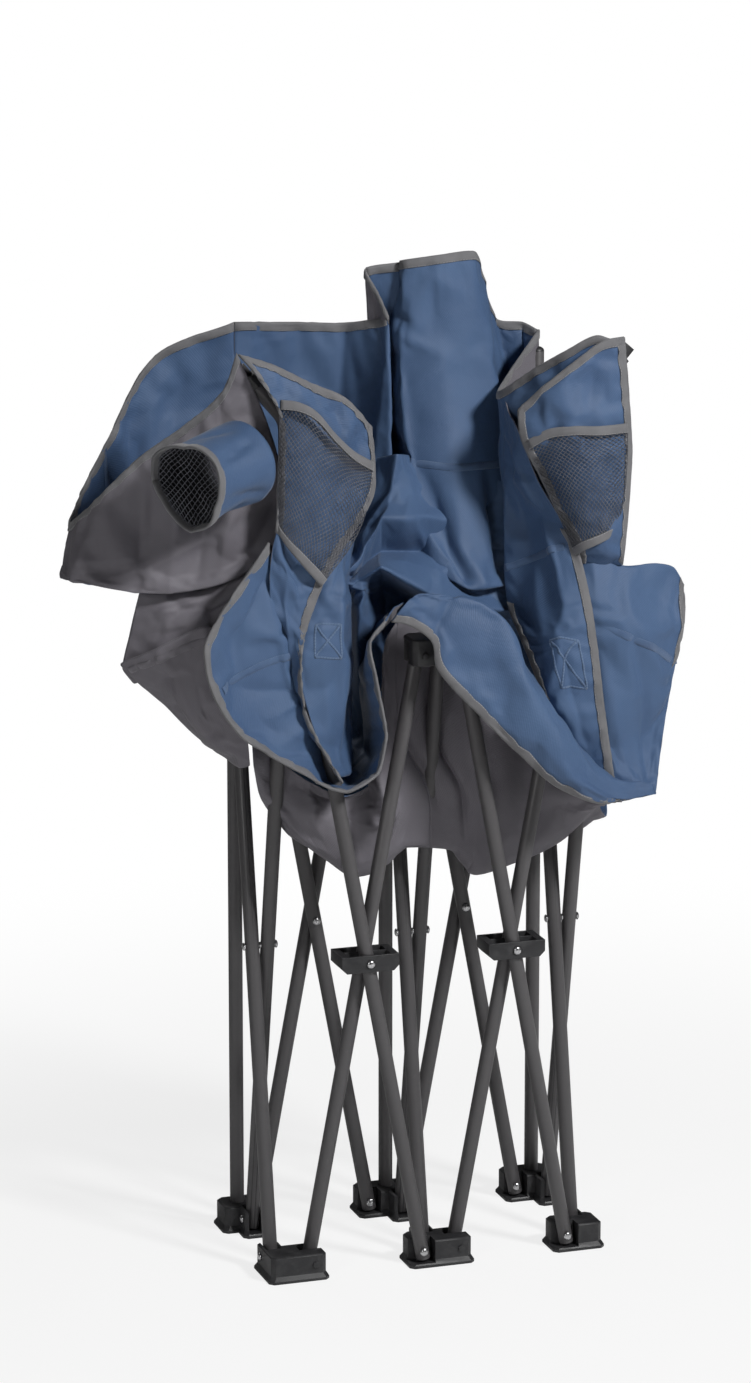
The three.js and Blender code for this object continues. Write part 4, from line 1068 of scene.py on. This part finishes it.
UNDERSIDE = [
    [(262, 800, 60), (300, 815, 44), (340, 825, 36), (380, 825, 34), (412, 800, 40), (450, 790, 40),
     (480, 805, 34), (520, 808, 34), (560, 806, 42), (600, 806, 50)],
    [(292, 836, 78), (325, 850, 70), (355, 868, 66), (380, 860, 64), (404, 835, 60), (456, 838, 62),
     (474, 864, 64), (520, 850, 66), (570, 832, 70), (606, 816, 70)],
    [(285, 800, 118), (315, 820, 120), (350, 838, 118), (380, 830, 112), (404, 810, 104),
     (454, 815, 104), (474, 835, 112), (518, 826, 118), (562, 812, 118), (606, 795, 116)],
    [(280, 745, 140), (315, 745, 146), (350, 745, 146), (385, 745, 142), (408, 745, 130),
     (450, 735, 130), (478, 735, 142), (518, 735, 146), (558, 735, 144), (596, 735, 134)],
]
POCKET_LEFT = [
    [(281, 401, -14), (297, 403, -19), (314, 412, -18), (333, 434, -15), (352, 452, -7), (371, 463, 12)],
    [(279, 446, -20), (296, 450, -26), (314, 456, -26), (333, 468, -20), (351, 480, -9), (369, 492, 6)],
    [(278, 492, -22), (293, 500, -28), (310, 510, -29), (327, 520, -24), (343, 528, -13),
     (355, 535, -1)],
    [(280, 533, -22), (288, 546, -26), (296, 557, -28), (304, 567, -27), (312, 576, -25),
     (320, 585, -21)],
]
POCKET_RIGHT = [
    [(527, 441, 14), (548, 430, 0), (572, 427, -12), (598, 427, -17), (626, 424, -8)],
    [(539, 468, 12), (560, 462, -6), (580, 460, -16), (602, 458, -18), (626, 456, -8)],
    [(554, 502, 8), (572, 498, -8), (588, 497, -18), (604, 495, -18), (623, 492, -8)],
    [(577, 554, -2), (586, 548, -12), (595, 543, -16), (604, 538, -14), (615, 533, -8)],
]

# %% Sheets
# edges are (edge, start, end) as shares of that edge; follow is a body, or two bodies with the
# axis and two places along it, and a sheet with two bodies stays where it lies.
def panel(table, plus, minus, tape, follow, node, held, rests_on):
    return {"table": table, "plus": plus, "minus": minus, "tape": tape, "follow": follow,
            "node": node, "held": held, "rests_on": rests_on}


back_left_follow = ("rear_centre_stand", "back_cloth_left", 0, 0, -REAR_PITCH)
back_right_follow = ("rear_centre_stand", "back_cloth_right", 0, 0, REAR_PITCH)
arm_left_follow = ("rear_left_stand", "arm_cloth_left", 1, ROW_DEPTH, 0)
arm_right_follow = ("rear_right_stand", "arm_cloth_right", 1, ROW_DEPTH, 0)
seat_left_follow = ("front_centre_bracket", "seat_cloth_left", 0, 0, -REAR_PITCH)
seat_right_follow = ("front_centre_bracket", "seat_cloth_right", 0, 0, REAR_PITCH)
seat_middle_follow = ("front_centre_bracket", "seat_middle", 1, 0, ROW_DEPTH)

PANELS = {
    "back_left_panel": panel(BACK_LEFT, grey_cloth, blue_cloth, [("top", 0, 1)], back_left_follow,
                             "back_cloth_left", "gathered", ["left_post", "centre_post"]),
    "back_right_panel": panel(BACK_RIGHT, grey_cloth, blue_cloth, [("top", 0, 1)], back_right_follow,
                              "back_cloth_right", "gathered", ["centre_post", "right_post"]),
    "arm_left_panel": panel(ARM_LEFT, blue_cloth, grey_cloth, [("top", 0, 1)], arm_left_follow,
                            "arm_cloth_left", "hung", ["left_post", "left_arm_clip"]),
    "arm_right_panel": panel(ARM_RIGHT, grey_cloth, blue_cloth, [("top", 0, 1)], arm_right_follow,
                             "arm_cloth_right", "hung", ["right_post", "right_arm_clip"]),
    "front_left_panel": panel(PANEL_LEFT, grey_cloth, blue_cloth,
                              [("top", 0, 1), ("start", 0, 0.5), ("end", 0, 1)],
                              ("front_left_arm",), "front_panel_left", "hung", ["left_arm_post"]),
    "front_right_panel": panel(PANEL_RIGHT, grey_cloth, blue_cloth,
                               [("top", 0, 1), ("start", 0, 1), ("end", 0, 0.86)],
                               ("front_right_arm",), "front_panel_right", "hung", ["right_arm_post"]),
    "front_right_gusset": panel(INNER_RIGHT, grey_cloth, blue_cloth,
                                [("end", 0.3, 1), ("start", 0.5, 0.82)],
                                ("front_right_arm",), None, "hung", ["right_arm_post"]),
    "seat_left_panel": panel(SEAT_LEFT, blue_cloth, grey_cloth, [("top", 0, 1)], seat_left_follow,
                             "seat_cloth_left", "gathered",
                             ["front_left_bracket", "front_centre_bracket"]),
    "seat_right_panel": panel(SEAT_RIGHT, blue_cloth, grey_cloth, [("top", 0, 0.93)], seat_right_follow,
                              "seat_cloth_right", "gathered",
                              ["front_centre_bracket", "front_right_bracket"]),
    "seat_right_flap": panel(FLAP_RIGHT, grey_cloth, blue_cloth, [("end", 0, 0.42)],
                             ("seat_cloth_right",), "seat_flap_right", "hung", ["front_right_bracket"]),
    "seat_interior": panel(INTERIOR, grey_cloth, blue_cloth, [], seat_middle_follow,
                           "seat_fold_centre", "gathered",
                           ["front_centre_bracket", "rear_centre_slider"]),
    "front_left_gusset": panel(INNER_LEFT, grey_cloth, blue_cloth, [],
                               ("front_left_arm",), None, "hung", ["left_arm_post"]),
    "side_left_inner": panel(SIDE_LEFT_UPPER, grey_cloth, grey_cloth, [],
                             ("arm_cloth_left",), None, "hung", ["front_left_bracket"]),
    "side_left_lining": panel(SIDE_LEFT, grey_cloth, grey_cloth, [],
                              ("arm_cloth_left",), "side_lining_left", "hung",
                              ["front_left_bracket"]),
}
print("panels", len(PANELS))

# %% [markdown]
# ## Letting the cloth settle
#
# Every sheet is made a little larger than the surface it lies on, as slack cloth is, and is held
# along its border. The simulation then has to put the spare cloth somewhere, and small soft
# buckles appear. All the sheets run at the same time, for a few frames only, and no point may go
# far, because the folds themselves are already right.

# %% Settle the sheets
GROWTH = 0.035
SETTLE_FRAMES = 14
FARTHEST = 7 * MM
BORDER_HOLD = (1, 0.4)


def hold_border(piece, order, count_u, count_v):
    """Holds the outermost points fast, and the next ones by a part."""
    group = piece.vertex_groups.new(name="held")
    for index, (i, j) in enumerate(order):
        rim = min(i, j, count_u - 1 - i, count_v - 1 - j)
        if rim < len(BORDER_HOLD):
            group.add([index], BORDER_HOLD[rim], "REPLACE")
    return group.name


def add_cloth(piece, held):
    cloth = piece.modifiers.new("settle", "CLOTH")
    settings = cloth.settings
    settings.quality = 6
    settings.mass = 0.12
    settings.tension_stiffness = 25
    settings.compression_stiffness = 25
    settings.shear_stiffness = 12
    settings.bending_stiffness = 0.35
    settings.shrink_min = -GROWTH
    settings.vertex_group_mass = held
    settings.effector_weights.gravity = 0.25
    cloth.collision_settings.use_collision = False
    cloth.point_cache.frame_end = SETTLE_FRAMES


def moved_points(piece, order, shape):
    """The piece's points where the cloth has taken them, as a surface."""
    moved = piece.evaluated_get(bpy.context.evaluated_depsgraph_get())
    flat = np.empty(len(order) * 3)
    moved.data.vertices.foreach_get("co", flat)
    points = np.empty((*shape, 3))
    for place, point in zip(order, flat.reshape(-1, 3)):
        points[place] = point
    return points


def settle(surfaces):
    """Runs the cloth on all surfaces at once and gives their points after it."""
    trial = {}
    for name, points in surfaces.items():
        piece, order = grid_piece(name + "_trial", points, cloth_uv(points), [])
        add_cloth(piece, hold_border(piece, order, *points.shape[:2]))
        trial[name] = piece, order
    scene = bpy.context.scene
    for number in range(1, SETTLE_FRAMES + 1):
        scene.frame_set(number)
    settled = {}
    for name, (piece, order) in trial.items():
        points = surfaces[name]
        moved = moved_points(piece, order, points.shape[:2]) - points
        far = np.linalg.norm(moved, axis=2, keepdims=True)
        settled[name] = points + moved * np.minimum(1, FARTHEST / np.maximum(far, 1e-9))
        bpy.data.objects.remove(piece)
    scene.frame_set(1)
    return settled


# how far a sheet's curves are drawn to straight lines, across and down; the others are smooth
CRISP = {
    "back_left_panel": (0.6, 0), "back_right_panel": (0.3, 0), "seat_left_panel": (0.35, 0.3),
    "seat_interior": (0.85, 0.85), "front_left_gusset": (0.8, 0.2), "front_right_gusset": (0.7, 0.2),
    "side_left_inner": (0.5, 0.7), "side_left_lining": (0.5, 0), "seat_right_flap": (0.3, 0.3),
}
surfaces = {name: surface(spec["table"], CRISP.get(name, (0, 0))) for name, spec in PANELS.items()}
surfaces = settle(surfaces)
for name, points in surfaces.items():
    print(name, "points", points.shape[:2], "mean runs", np.round(cloth_uv(points)[-1, -1], 3))

# %% [markdown]
# ### Crests and unevenness
#
# A coated cloth keeps sharp crests where it has been folded for storage. Each crest is a short
# line on the sheet, in shares across and down, with a height and a width. The cloth rises to it
# from both sides, or sinks where the height is below zero. The soft crests came out too low when
# they were first rendered, so a gain lifts them all. A little noise along the normal keeps the
# rest from looking ironed.

# %% Crests
ROUGH_HEIGHT = 0.9 * MM
ROUGH_SIZE = 26 * MM
CREST_END = 0.08


def normals_of(points):
    along = np.gradient(points, axis=0)
    fall = np.gradient(points, axis=1)
    normal = np.cross(along, fall)
    return normal / np.maximum(np.linalg.norm(normal, axis=2, keepdims=True), 1e-12)


def at_share(field, places):
    """The field's value at shares (across, down), between its grid points."""
    places = np.asarray(places, float)
    size = np.array(field.shape[:2]) - 1
    where = np.clip(places, 0, 1) * size
    low = np.minimum(where.astype(int), size - 1)
    part = where - low
    i, j = low[:, 0], low[:, 1]
    a, b = part[:, :1], part[:, 1:]
    return ((1 - a) * (1 - b) * field[i, j] + a * (1 - b) * field[i + 1, j]
            + (1 - a) * b * field[i, j + 1] + a * b * field[i + 1, j + 1])


def distance_to_line(places, start, end):
    line = end - start
    share = np.clip(((places - start) @ line) / (line @ line), 0, 1)
    return np.linalg.norm(places - start - share[..., None] * line, axis=2), share


def with_crests(points, crests):
    uv = cloth_uv(points)
    rise = np.zeros(points.shape[:2])
    for start, end, height, width in crests:
        gap, share = distance_to_line(uv, *at_share(uv, [start, end]))
        along = np.sin(np.pi * (CREST_END + (1 - 2 * CREST_END) * share))
        rise += height * MM * np.exp(-gap / (width * MM)) * along
    rough = np.array([[noise.noise(Vector(p) / ROUGH_SIZE) for p in column] for column in points])
    return points + (rise + ROUGH_HEIGHT * rough)[..., None] * normals_of(points)


# each crest: start and end in shares (across, down), height and width in mm
CREST_GAIN = 1.7
SOFT_CRESTS = {
    "back_left_panel": [
        ((0.12, 0.05), (0.30, 0.90), -3, 12), ((0.55, 0.10), (0.42, 0.85), -3, 9),
        ((0.30, 0.00), (0.38, 0.45), 2, 8),
    ],
    "back_right_panel": [
        ((0.04, 0.16), (0.31, 0.27), -4, 8), ((0.31, 0.27), (0.10, 0.40), -3, 7),
        ((0.20, 0.04), (0.36, 0.10), -2, 6), ((0.62, 0.10), (0.70, 0.70), -3, 8),
        ((0.90, 0.05), (0.86, 0.50), -2, 7),
    ],
    "arm_left_panel": [
        ((0.12, 0.10), (0.16, 0.95), 3, 8), ((0.33, 0.05), (0.36, 0.85), 4, 6),
        ((0.05, 0.30), (0.22, 0.55), 2, 7), ((0.60, 0.10), (0.56, 1.00), -4, 8),
        ((0.68, 0.20), (0.66, 1.00), 4, 7), ((0.76, 0.15), (0.74, 1.00), -4, 7),
        ((0.84, 0.30), (0.80, 1.00), 4, 7), ((0.92, 0.20), (0.86, 0.95), -4, 8),
        ((0.62, 0.85), (0.95, 0.60), -3, 7),
    ],
    "arm_right_panel": [((0.40, 0.10), (0.45, 0.95), 4, 8), ((0.70, 0.10), (0.75, 0.90), -3, 8)],
    "side_left_lining": [
        ((0.08, 0.15), (0.60, 0.90), -3, 12), ((0.50, 0.00), (0.62, 1.00), 3, 9),
        ((0.25, 0.05), (0.40, 0.60), -3, 7),
    ],
    "side_left_inner": [
        ((0.05, 0.42), (0.95, 0.22), -5, 6), ((0.05, 0.75), (0.95, 0.50), -5, 6),
        ((0.20, 0.30), (0.80, 0.45), 4, 6), ((0.10, 0.55), (0.60, 0.62), 4, 6),
    ],
    "front_left_panel": [
        ((0.30, 0.62), (0.70, 0.95), -3, 7), ((0.10, 0.60), (0.80, 0.68), -3, 8),
        ((0.30, 0.06), (0.75, 0.16), -2, 8),
    ],
    "front_left_gusset": [((0.50, 0.08), (0.42, 0.38), -4, 6), ((0.25, 0.40), (0.30, 0.90), -2, 8)],
    "front_right_panel": [((0.30, 0.05), (0.50, 0.35), -2, 8), ((0.70, 0.02), (0.60, 0.30), 2, 7)],
    "front_right_gusset": [
        ((0.45, 0.40), (0.42, 0.62), -5, 5), ((0.70, 0.45), (0.62, 0.95), 3, 8),
        ((0.30, 0.10), (0.40, 0.40), 3, 9), ((0.60, 0.05), (0.75, 0.30), -3, 8),
    ],
    "seat_left_panel": [
        ((0.16, 0.05), (0.30, 0.90), -3, 9), ((0.34, 0.00), (0.36, 1.00), 4, 8),
        ((0.06, 0.10), (0.14, 0.80), 3, 8), ((0.46, 0.05), (0.45, 0.90), -3, 7),
    ],
    "seat_right_panel": [
        ((0.25, 0.00), (0.22, 1.00), -4, 5), ((0.40, 0.10), (0.50, 0.55), -3, 7),
        ((0.55, 0.90), (0.75, 0.20), 2, 9), ((0.10, 0.50), (0.20, 0.90), -2, 6),
    ],
    "seat_right_flap": [
        ((0.34, 0.12), (0.80, 1.00), 6, 11), ((0.42, 0.24), (0.80, 0.48), -4, 7),
        ((0.55, 0.05), (0.80, 0.20), 3, 7), ((0.20, 0.40), (0.40, 0.95), -3, 9),
    ],
}
FOLD_CRESTS = {
    "back_right_panel": [
        ((0.345, 0.58), (0.385, 0.92), -9, 5), ((0.37, 0.60), (0.42, 0.98), 20, 6),
        ((0.19, 0.60), (0.25, 0.98), 11, 7), ((0.28, 0.84), (0.34, 1.00), -9, 5),
        ((0.265, 0.88), (0.29, 1.00), 8, 4),
    ],
    "seat_interior": [
        ((0.33, 0.00), (0.62, 0.20), -3, 5), ((0.33, 0.55), (0.66, 0.56), -4, 4),
        ((0.55, 0.20), (0.72, 0.55), -5, 6), ((0.75, 0.15), (0.80, 0.50), -4, 6),
    ],
}


def crests_of(name):
    """Every crest of a sheet: the soft ones with the gain, the others as they are given."""
    soft = [(*line, CREST_GAIN * height, width) for *line, height, width in SOFT_CRESTS.get(name, [])]
    return soft + FOLD_CRESTS.get(name, [])


surfaces = {name: with_crests(points, crests_of(name)) for name, points in surfaces.items()}
print("crests", sum(len(crests_of(name)) for name in surfaces))

# %% [markdown]
# ### Sheets, tape and seams
#
# A finished sheet is the grid with a subdivision and a real thickness; Solidify gives its two
# faces their own cloth. Tape is a second, narrow grid that wraps the edge: across, it walks from
# its inner edge over the rim to the other face; along, it follows the sheet's own edge points.

# %% Finish the sheets
TAPE_HALF = 1.5 * MM
TAPE_RIM = 1.1 * MM
STRIP_THICKNESS = 0.45 * MM
STRIP_RISE = 0.95 * MM


def walled(piece, thickness):
    wall = piece.modifiers.new("thickness", "SOLIDIFY")
    wall.thickness = thickness
    wall.offset = 0
    return wall


def finish_sheet(name, points, materials):
    piece, _ = grid_piece(name, points, cloth_uv(points), materials)
    smooth = piece.modifiers.new("smooth", "SUBSURF")
    smooth.levels = smooth.render_levels = 1
    walled(piece, CLOTH_THICKNESS).material_offset = len(materials) - 1
    return piece


def move_with(piece, follow):
    """The piece rides on one body; with two, it is only fixed where it lies."""
    if len(follow) == 1:
        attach(piece, follow[0])
    else:
        first, second, axis, start, end = follow
        places = [[0, 0, 0], [0, 0, 0]]
        places[0][axis], places[1][axis] = start, end
        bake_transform(piece)


for name, spec in PANELS.items():
    materials = [spec["plus"]] if spec["minus"] == spec["plus"] else [spec["plus"], spec["minus"]]
    piece = finish_sheet(name, surfaces[name], materials)
    move_with(piece, spec["follow"])
    if spec["node"]:
        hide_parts(spec["node"])


# %% Points on a sheet
def inward(points, edge):
    """The surface turned so that its first index runs along the edge and its second goes inwards."""
    turned = {"top": points, "down": points[:, ::-1],
              "start": points.transpose(1, 0, 2), "end": points[::-1].transpose(1, 0, 2)}
    return turned[edge]


def walk(column, distances):
    """Points at the given lengths along a line of points."""
    run = run_along(column)
    return np.array([[np.interp(d, run, column[:, k]) for k in range(3)] for d in distances])


def tape_points(points, edge, start, end):
    """A strip that wraps an edge: 11 points across, from one inner edge over the rim to the other."""
    turned = inward(points, edge)
    normal = inward(normals_of(points), edge)
    first, last = round(start * (len(turned) - 1)), round(end * (len(turned) - 1))
    depths = np.array([1, 0.9, 0.5, 0.15, 0, 0, 0, 0.15, 0.5, 0.9, 1]) * TAPE_WIDTH
    lifts = np.array([0.7, 1, 1, 1, 0.75, 0, -0.75, -1, -1, -1, -0.7]) * TAPE_HALF
    reach = np.array([0, 0, 0, 0, 0.8, 1, 0.8, 0, 0, 0, 0]) * TAPE_RIM
    rows = []
    for k in range(first, last + 1):
        inner = walk(turned[k], depths)
        out = turned[k][0] - turned[k][1]
        out = out / max(np.linalg.norm(out), 1e-9)
        rows.append(inner + lifts[:, None] * normal[k][0] + reach[:, None] * out)
    return np.array(rows)


def strip_uv(points):
    """u in metres along the middle of a strip, and v from 0 to 1 across it."""
    run = run_along(points[:, points.shape[1] // 2])
    across = np.linspace(0, 1, points.shape[1])
    return np.stack(np.broadcast_arrays(run[:, None], across[None, :]), axis=2)


def strip_piece(name, points, material):
    piece, _ = grid_piece(name, points, strip_uv(points), [material])
    walled(piece, STRIP_THICKNESS)
    return piece


def joined(name, parts):
    """One piece of one or more, with the modifiers of the first."""
    whole = parts[0]
    if len(parts) > 1:
        with bpy.context.temp_override(active_object=whole, selected_objects=parts,
                                       selected_editable_objects=parts, object=whole):
            bpy.ops.object.join()
    whole.name = name
    return whole


print("tape is", TAPE_WIDTH / MM, "mm wide")

# %% Bind the edges
bound = [name for name, spec in PANELS.items() if spec["tape"]]
for name in bound:
    parts = []
    for edge, start, end in PANELS[name]["tape"]:
        points = tape_points(surfaces[name], edge, start, end)
        parts.append(strip_piece(f"{name}_{edge}_tape", points, tape_finish))
    move_with(joined(name + "_binding", parts), PANELS[name]["follow"])
print("bound sheets", len(bound))

# %% [markdown]
# ### Seams
#
# A felled seam is a flat raised band with two rows of stitches. It lies on one face of a sheet
# along a line given in shares across and down.

# %% Seams
SEAM_WIDTH = 8 * MM
STITCH_WIDTH = 2 * MM
SEAM_STEPS = 24
SEAM_ACROSS = (-0.5, -0.42, 0, 0.42, 0.5)
SEAM_LIFTS = (0.35, 1, 1, 1, 0.35)


def seam_points(points, line, side, width):
    """A strip on one face of a surface: five points across, the outer two nearly down on it."""
    count = SEAM_STEPS * (len(line) - 1) + 1
    centre_share = curve_through([(*place, 0) for place in line], count)[:, :2]
    centre = at_share(points, centre_share)
    normal = at_share(normals_of(points), centre_share)
    along = np.gradient(centre, axis=0)
    across = np.cross(normal, along)
    across /= np.maximum(np.linalg.norm(across, axis=1, keepdims=True), 1e-9)
    strips = [centre + across * share * width + lift * STRIP_RISE * side * normal
              for share, lift in zip(SEAM_ACROSS, SEAM_LIFTS)]
    return np.stack(strips, axis=1)


def crossed_box(left, top, right, bottom):
    """The lines of a stitched box with a cross in it."""
    a, b, c, d = (left, top), (right, top), (right, bottom), (left, bottom)
    return [[a, b], [b, c], [c, d], [d, a], [a, c], [b, d]]


# each sheet's seams: the face they lie on, the lines of wide seams and the lines of stitching
SEAMS = {
    "arm_left_panel": (1, [[(0.235, 0), (0.235, 0.5), (0.235, 1)]], []),
    "seat_left_panel": (1, [[(0.19, 0.1), (0.16, 0.5), (0.15, 1)]], []),
    "seat_right_flap": (-1, [[(0, 0.27), (0.5, 0.32), (1, 0.42)]], []),
    "back_right_panel": (-1, [[(0.06, 0.57), (0.3, 0.57), (0.58, 0.57)]], []),
    "front_right_gusset": (
        -1, [[(0.02, 0.41), (0.45, 0.38), (0.85, 0.35)]], crossed_box(0.47, 0.65, 0.84, 0.78)),
    "front_left_gusset": (-1, [], crossed_box(0.16, 0.40, 0.44, 0.58)),
    "side_left_lining": (-1, [[(0.02, 0.09), (0.5, 0.09), (0.98, 0.09)]], []),
}
for name, (side, seams, stitches) in SEAMS.items():
    band = grey_seam if PANELS[name]["plus"] == PANELS[name]["minus"] else blue_seam
    kinds = [(line, SEAM_WIDTH, band) for line in seams]
    kinds += [(line, STITCH_WIDTH, blue_stitch) for line in stitches]
    parts = []
    for k, (line, width, finish) in enumerate(kinds):
        points = seam_points(surfaces[name], line, side, width)
        parts.append(strip_piece(f"{name}_seam{k}", points, finish))
    move_with(joined(name + "_seams", parts), PANELS[name]["follow"])
print("seamed sheets", len(SEAMS))

# %% [markdown]
# ### Underside
#
# The grey underside of the seat hangs between the tubes. Its surface starts with the lining that
# turns down behind the front edge, and it is cut in two at the middle.

# %% Underside
under = surface(FRONT_LINING + UNDERSIDE, (0.5, 0))
under = settle({"underside": under})["underside"]
UNDERSIDE_CRESTS = [
    ((0.12, 0.10), (0.16, 0.45), -11, 8), ((0.24, 0.05), (0.27, 0.50), 11, 7),
    ((0.33, 0.00), (0.38, 0.40), -13, 6), ((0.40, 0.38), (0.31, 0.24), -12, 5),
    ((0.40, 0.38), (0.30, 0.40), -10, 5), ((0.40, 0.38), (0.36, 0.52), -10, 5),
    ((0.62, 0.05), (0.60, 0.50), 14, 7), ((0.72, 0.05), (0.70, 0.50), -11, 7),
    ((0.85, 0.05), (0.82, 0.50), 11, 7), ((0.50, 0.10), (0.52, 0.45), 11, 7),
    ((0.90, 0.60), (0.10, 0.62), -10, 8), ((0.30, 0.70), (0.32, 1.00), 10, 7),
]
under = with_crests(under, UNDERSIDE_CRESTS)
middle = len(under) // 2
under_parts = {"underside_left": under[:middle + 1], "underside_right": under[middle:]}
for name, follow in (("underside_left", seat_left_follow), ("underside_right", seat_right_follow)):
    piece = finish_sheet(name, under_parts[name], [blue_cloth, grey_cloth])
    move_with(piece, follow)
    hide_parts("seat_underside")
print("underside", under.shape[:2])

# %% [markdown]
# ## Net pockets
#
# Each arm front has a pocket of net with a taped mouth. The holes are real: a grid is poked, the
# first edges are dissolved so that diamonds are left, and Wireframe turns the edges into threads.
# The pocket stands off the panel by a little and bulges in its middle.

# %% Net
NET_PITCH = 5.6 * MM
NET_THREAD = 1.15 * MM
NET_LEAST = 4
POCKET_BULGE = 5 * MM
POCKET_OFFSET = 2.6 * MM
POCKET_LOW = 0.9


def net_piece(name, points, pitch=NET_PITCH, thread=NET_THREAD):
    size = cloth_uv(points)[-1, -1]
    count_u, count_v = (max(NET_LEAST, round(length / pitch)) for length in size)
    shape = bmesh.new()
    bmesh.ops.create_grid(shape, x_segments=count_u, y_segments=count_v, size=0.5)
    first = set(shape.edges)
    bmesh.ops.poke(shape, faces=shape.faces)
    inner = [e for e in shape.edges if e in first and len(e.link_faces) == 2]
    bmesh.ops.dissolve_edges(shape, edges=inner, use_verts=False)
    places = at_share(points, [(vert.co.x + 0.5, vert.co.y + 0.5) for vert in shape.verts])
    for vert, place in zip(shape.verts, places):
        vert.co = place
    piece = new_piece(name, shape, net_finish, smooth_angle=180)
    wires = piece.modifiers.new("threads", "WIREFRAME")
    wires.thickness = thread
    wires.use_even_offset = False
    wires.use_boundary = True
    return piece


def bulged(points):
    """The surface stood off its panel, against its normal, and most of all in the middle."""
    s = np.linspace(0, 1, points.shape[0])[:, None]
    t = np.linspace(0, 1, points.shape[1])[None, :]
    rise = POCKET_OFFSET + POCKET_BULGE * np.sin(np.pi * s) * np.sin(np.pi * t * POCKET_LOW)
    return points - rise[..., None] * normals_of(points)


# each pocket: its table, the CAD node that it replaces and the body that carries it
POCKETS = {
    "left": (POCKET_LEFT, "mesh_pocket_left", "front_left_arm"),
    "right": (POCKET_RIGHT, "mesh_pocket_right", "front_right_arm"),
}
for side, (table, node, body) in POCKETS.items():
    points = bulged(surface(table))
    net = net_piece(f"{side}_pocket_net", points)
    move_with(net, (body,))
    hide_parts(node)
    parts = [strip_piece(f"{side}_pocket_{edge}", tape_points(points, edge, 0, 1), tape_finish)
             for edge in ("top", "down")]
    move_with(joined(f"{side}_pocket_trim", parts), (body,))
    print(side, "pocket", np.round(cloth_uv(points)[-1, -1], 3))

# %% [markdown]
# ## Cup holder
#
# The holder is a cloth sleeve that hangs on the arm with its foot to the front. Its foot ring has
# gone out of round, and its wall has soft dents, because nothing is in it.

# %% Cup holder
CUP_FOOT = tied(-1.71, -0.41, 1.31)
CUP_MOUTH = tied(-1.286, -0.118, 1.325)
CUP_RADIUS = 46 * MM
CUP_DEPTH = 92 * MM
CUP_SIDES = 48
CUP_RINGS = 16
CUP_DENT = 0.05
MOUTH_SHARE = 0.98
CUP_NET_PITCH = 7.5 * MM
CUP_NET_THREAD = 1.3 * MM
CUP_NET_SHARE = 0.97
CUP_NET_STEPS = 20
# the foot ring's radius, as shares of the cup's, at even steps round it
FOOT_SHARES = [1.0, 1.1, 0.97, 0.87, 1.02, 1.1, 0.94, 0.88, 1.04, 1.12, 0.95, 0.89]


def cup_points():
    """Rings from the foot to the mouth: points indexed round, then along."""
    turn = turned_to(CUP_MOUTH - CUP_FOOT)
    angles = np.linspace(0, 2 * np.pi, CUP_SIDES + 1)
    foot_angles = np.linspace(0, 2 * np.pi, len(FOOT_SHARES) + 1)
    foot_shares = np.interp(angles, foot_angles, FOOT_SHARES + FOOT_SHARES[:1])
    rings = []
    for share in np.arange(CUP_RINGS + 1) / CUP_RINGS:
        ring = []
        for angle, foot_share in zip(angles, foot_shares):
            dent = 1 - CUP_DENT * math.sin(math.pi * share) * (1 + math.sin(3 * angle + 2 * share))
            radius = CUP_RADIUS * dent * (foot_share * (1 - share) + MOUTH_SHARE * share)
            spoke = Vector((radius * math.cos(angle), radius * math.sin(angle), CUP_DEPTH * share))
            ring.append(np.array(turn @ spoke) + CUP_FOOT)
        rings.append(ring)
    return np.array(rings).transpose(1, 0, 2)


DENT_LINES = [
    ((0.05, 0.00), (0.10, 1.00)), ((0.16, 0.10), (0.28, 0.80)), ((0.42, 0.00), (0.36, 0.90)),
    ((0.55, 0.20), (0.62, 1.00)), ((0.72, 0.00), (0.66, 0.70)), ((0.85, 0.15), (0.92, 0.95)),
]
DENT_HEIGHT, DENT_WIDTH = -7, 5
wall_points = with_crests(cup_points(), [(*line, DENT_HEIGHT, DENT_WIDTH) for line in DENT_LINES])
cup_follow = ("front_left_arm",)
# The sleeve's inner face is the near-black cloth, painted shade for the shadow inside the cup.
cup = finish_sheet("cup_holder_sleeve", wall_points, [blue_cloth, painted_shade_cloth])
move_with(cup, cup_follow)
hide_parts("cup_holder")
cup_trim = strip_piece("cup_holder_binding", tape_points(wall_points, "top", 0, 1), tape_finish)
move_with(cup_trim, cup_follow)


def disc_points(ring):
    """A square grid pressed into the shape of a ring of points, for the net in the foot."""
    centre = ring[:-1].mean(0)
    count = CUP_NET_STEPS
    points = np.empty((count + 1, count + 1, 3))
    for i in range(count + 1):
        for j in range(count + 1):
            x, y = 2 * i / count - 1, 2 * j / count - 1
            u, v = x * math.sqrt(1 - y * y / 2), y * math.sqrt(1 - x * x / 2)
            angle, reach = math.atan2(v, u) % (2 * math.pi), math.hypot(u, v)
            place = angle / (2 * math.pi) * (len(ring) - 1)
            k = min(int(place), len(ring) - 2)
            rim = ring[k] + (place - k) * (ring[k + 1] - ring[k])
            points[i, j] = centre + (rim - centre) * reach * CUP_NET_SHARE
    return points


foot_net = net_piece("cup_holder_net", disc_points(wall_points[:, 1]), CUP_NET_PITCH, CUP_NET_THREAD)
move_with(foot_net, cup_follow)
print("cup holder", CUP_RADIUS * 2, "m across")

# %% [markdown]
# ## The pieces sewn to each sheet
#
# For each sheet, the pieces sewn to it are gathered: its binding, its seams and, on the arm
# fronts, its pocket. No pattern of the real cloth is known.


SEWN_ON = {
    "front_left_panel": ["left_pocket_net", "left_pocket_trim"],
    "front_right_panel": ["right_pocket_net", "right_pocket_trim"],
}
for name, spec in PANELS.items():
    sewn = [name + "_binding", name + "_seams"] + SEWN_ON.get(name, [])
    sewn = [bpy.data.objects[o] for o in sewn if o in bpy.data.objects]
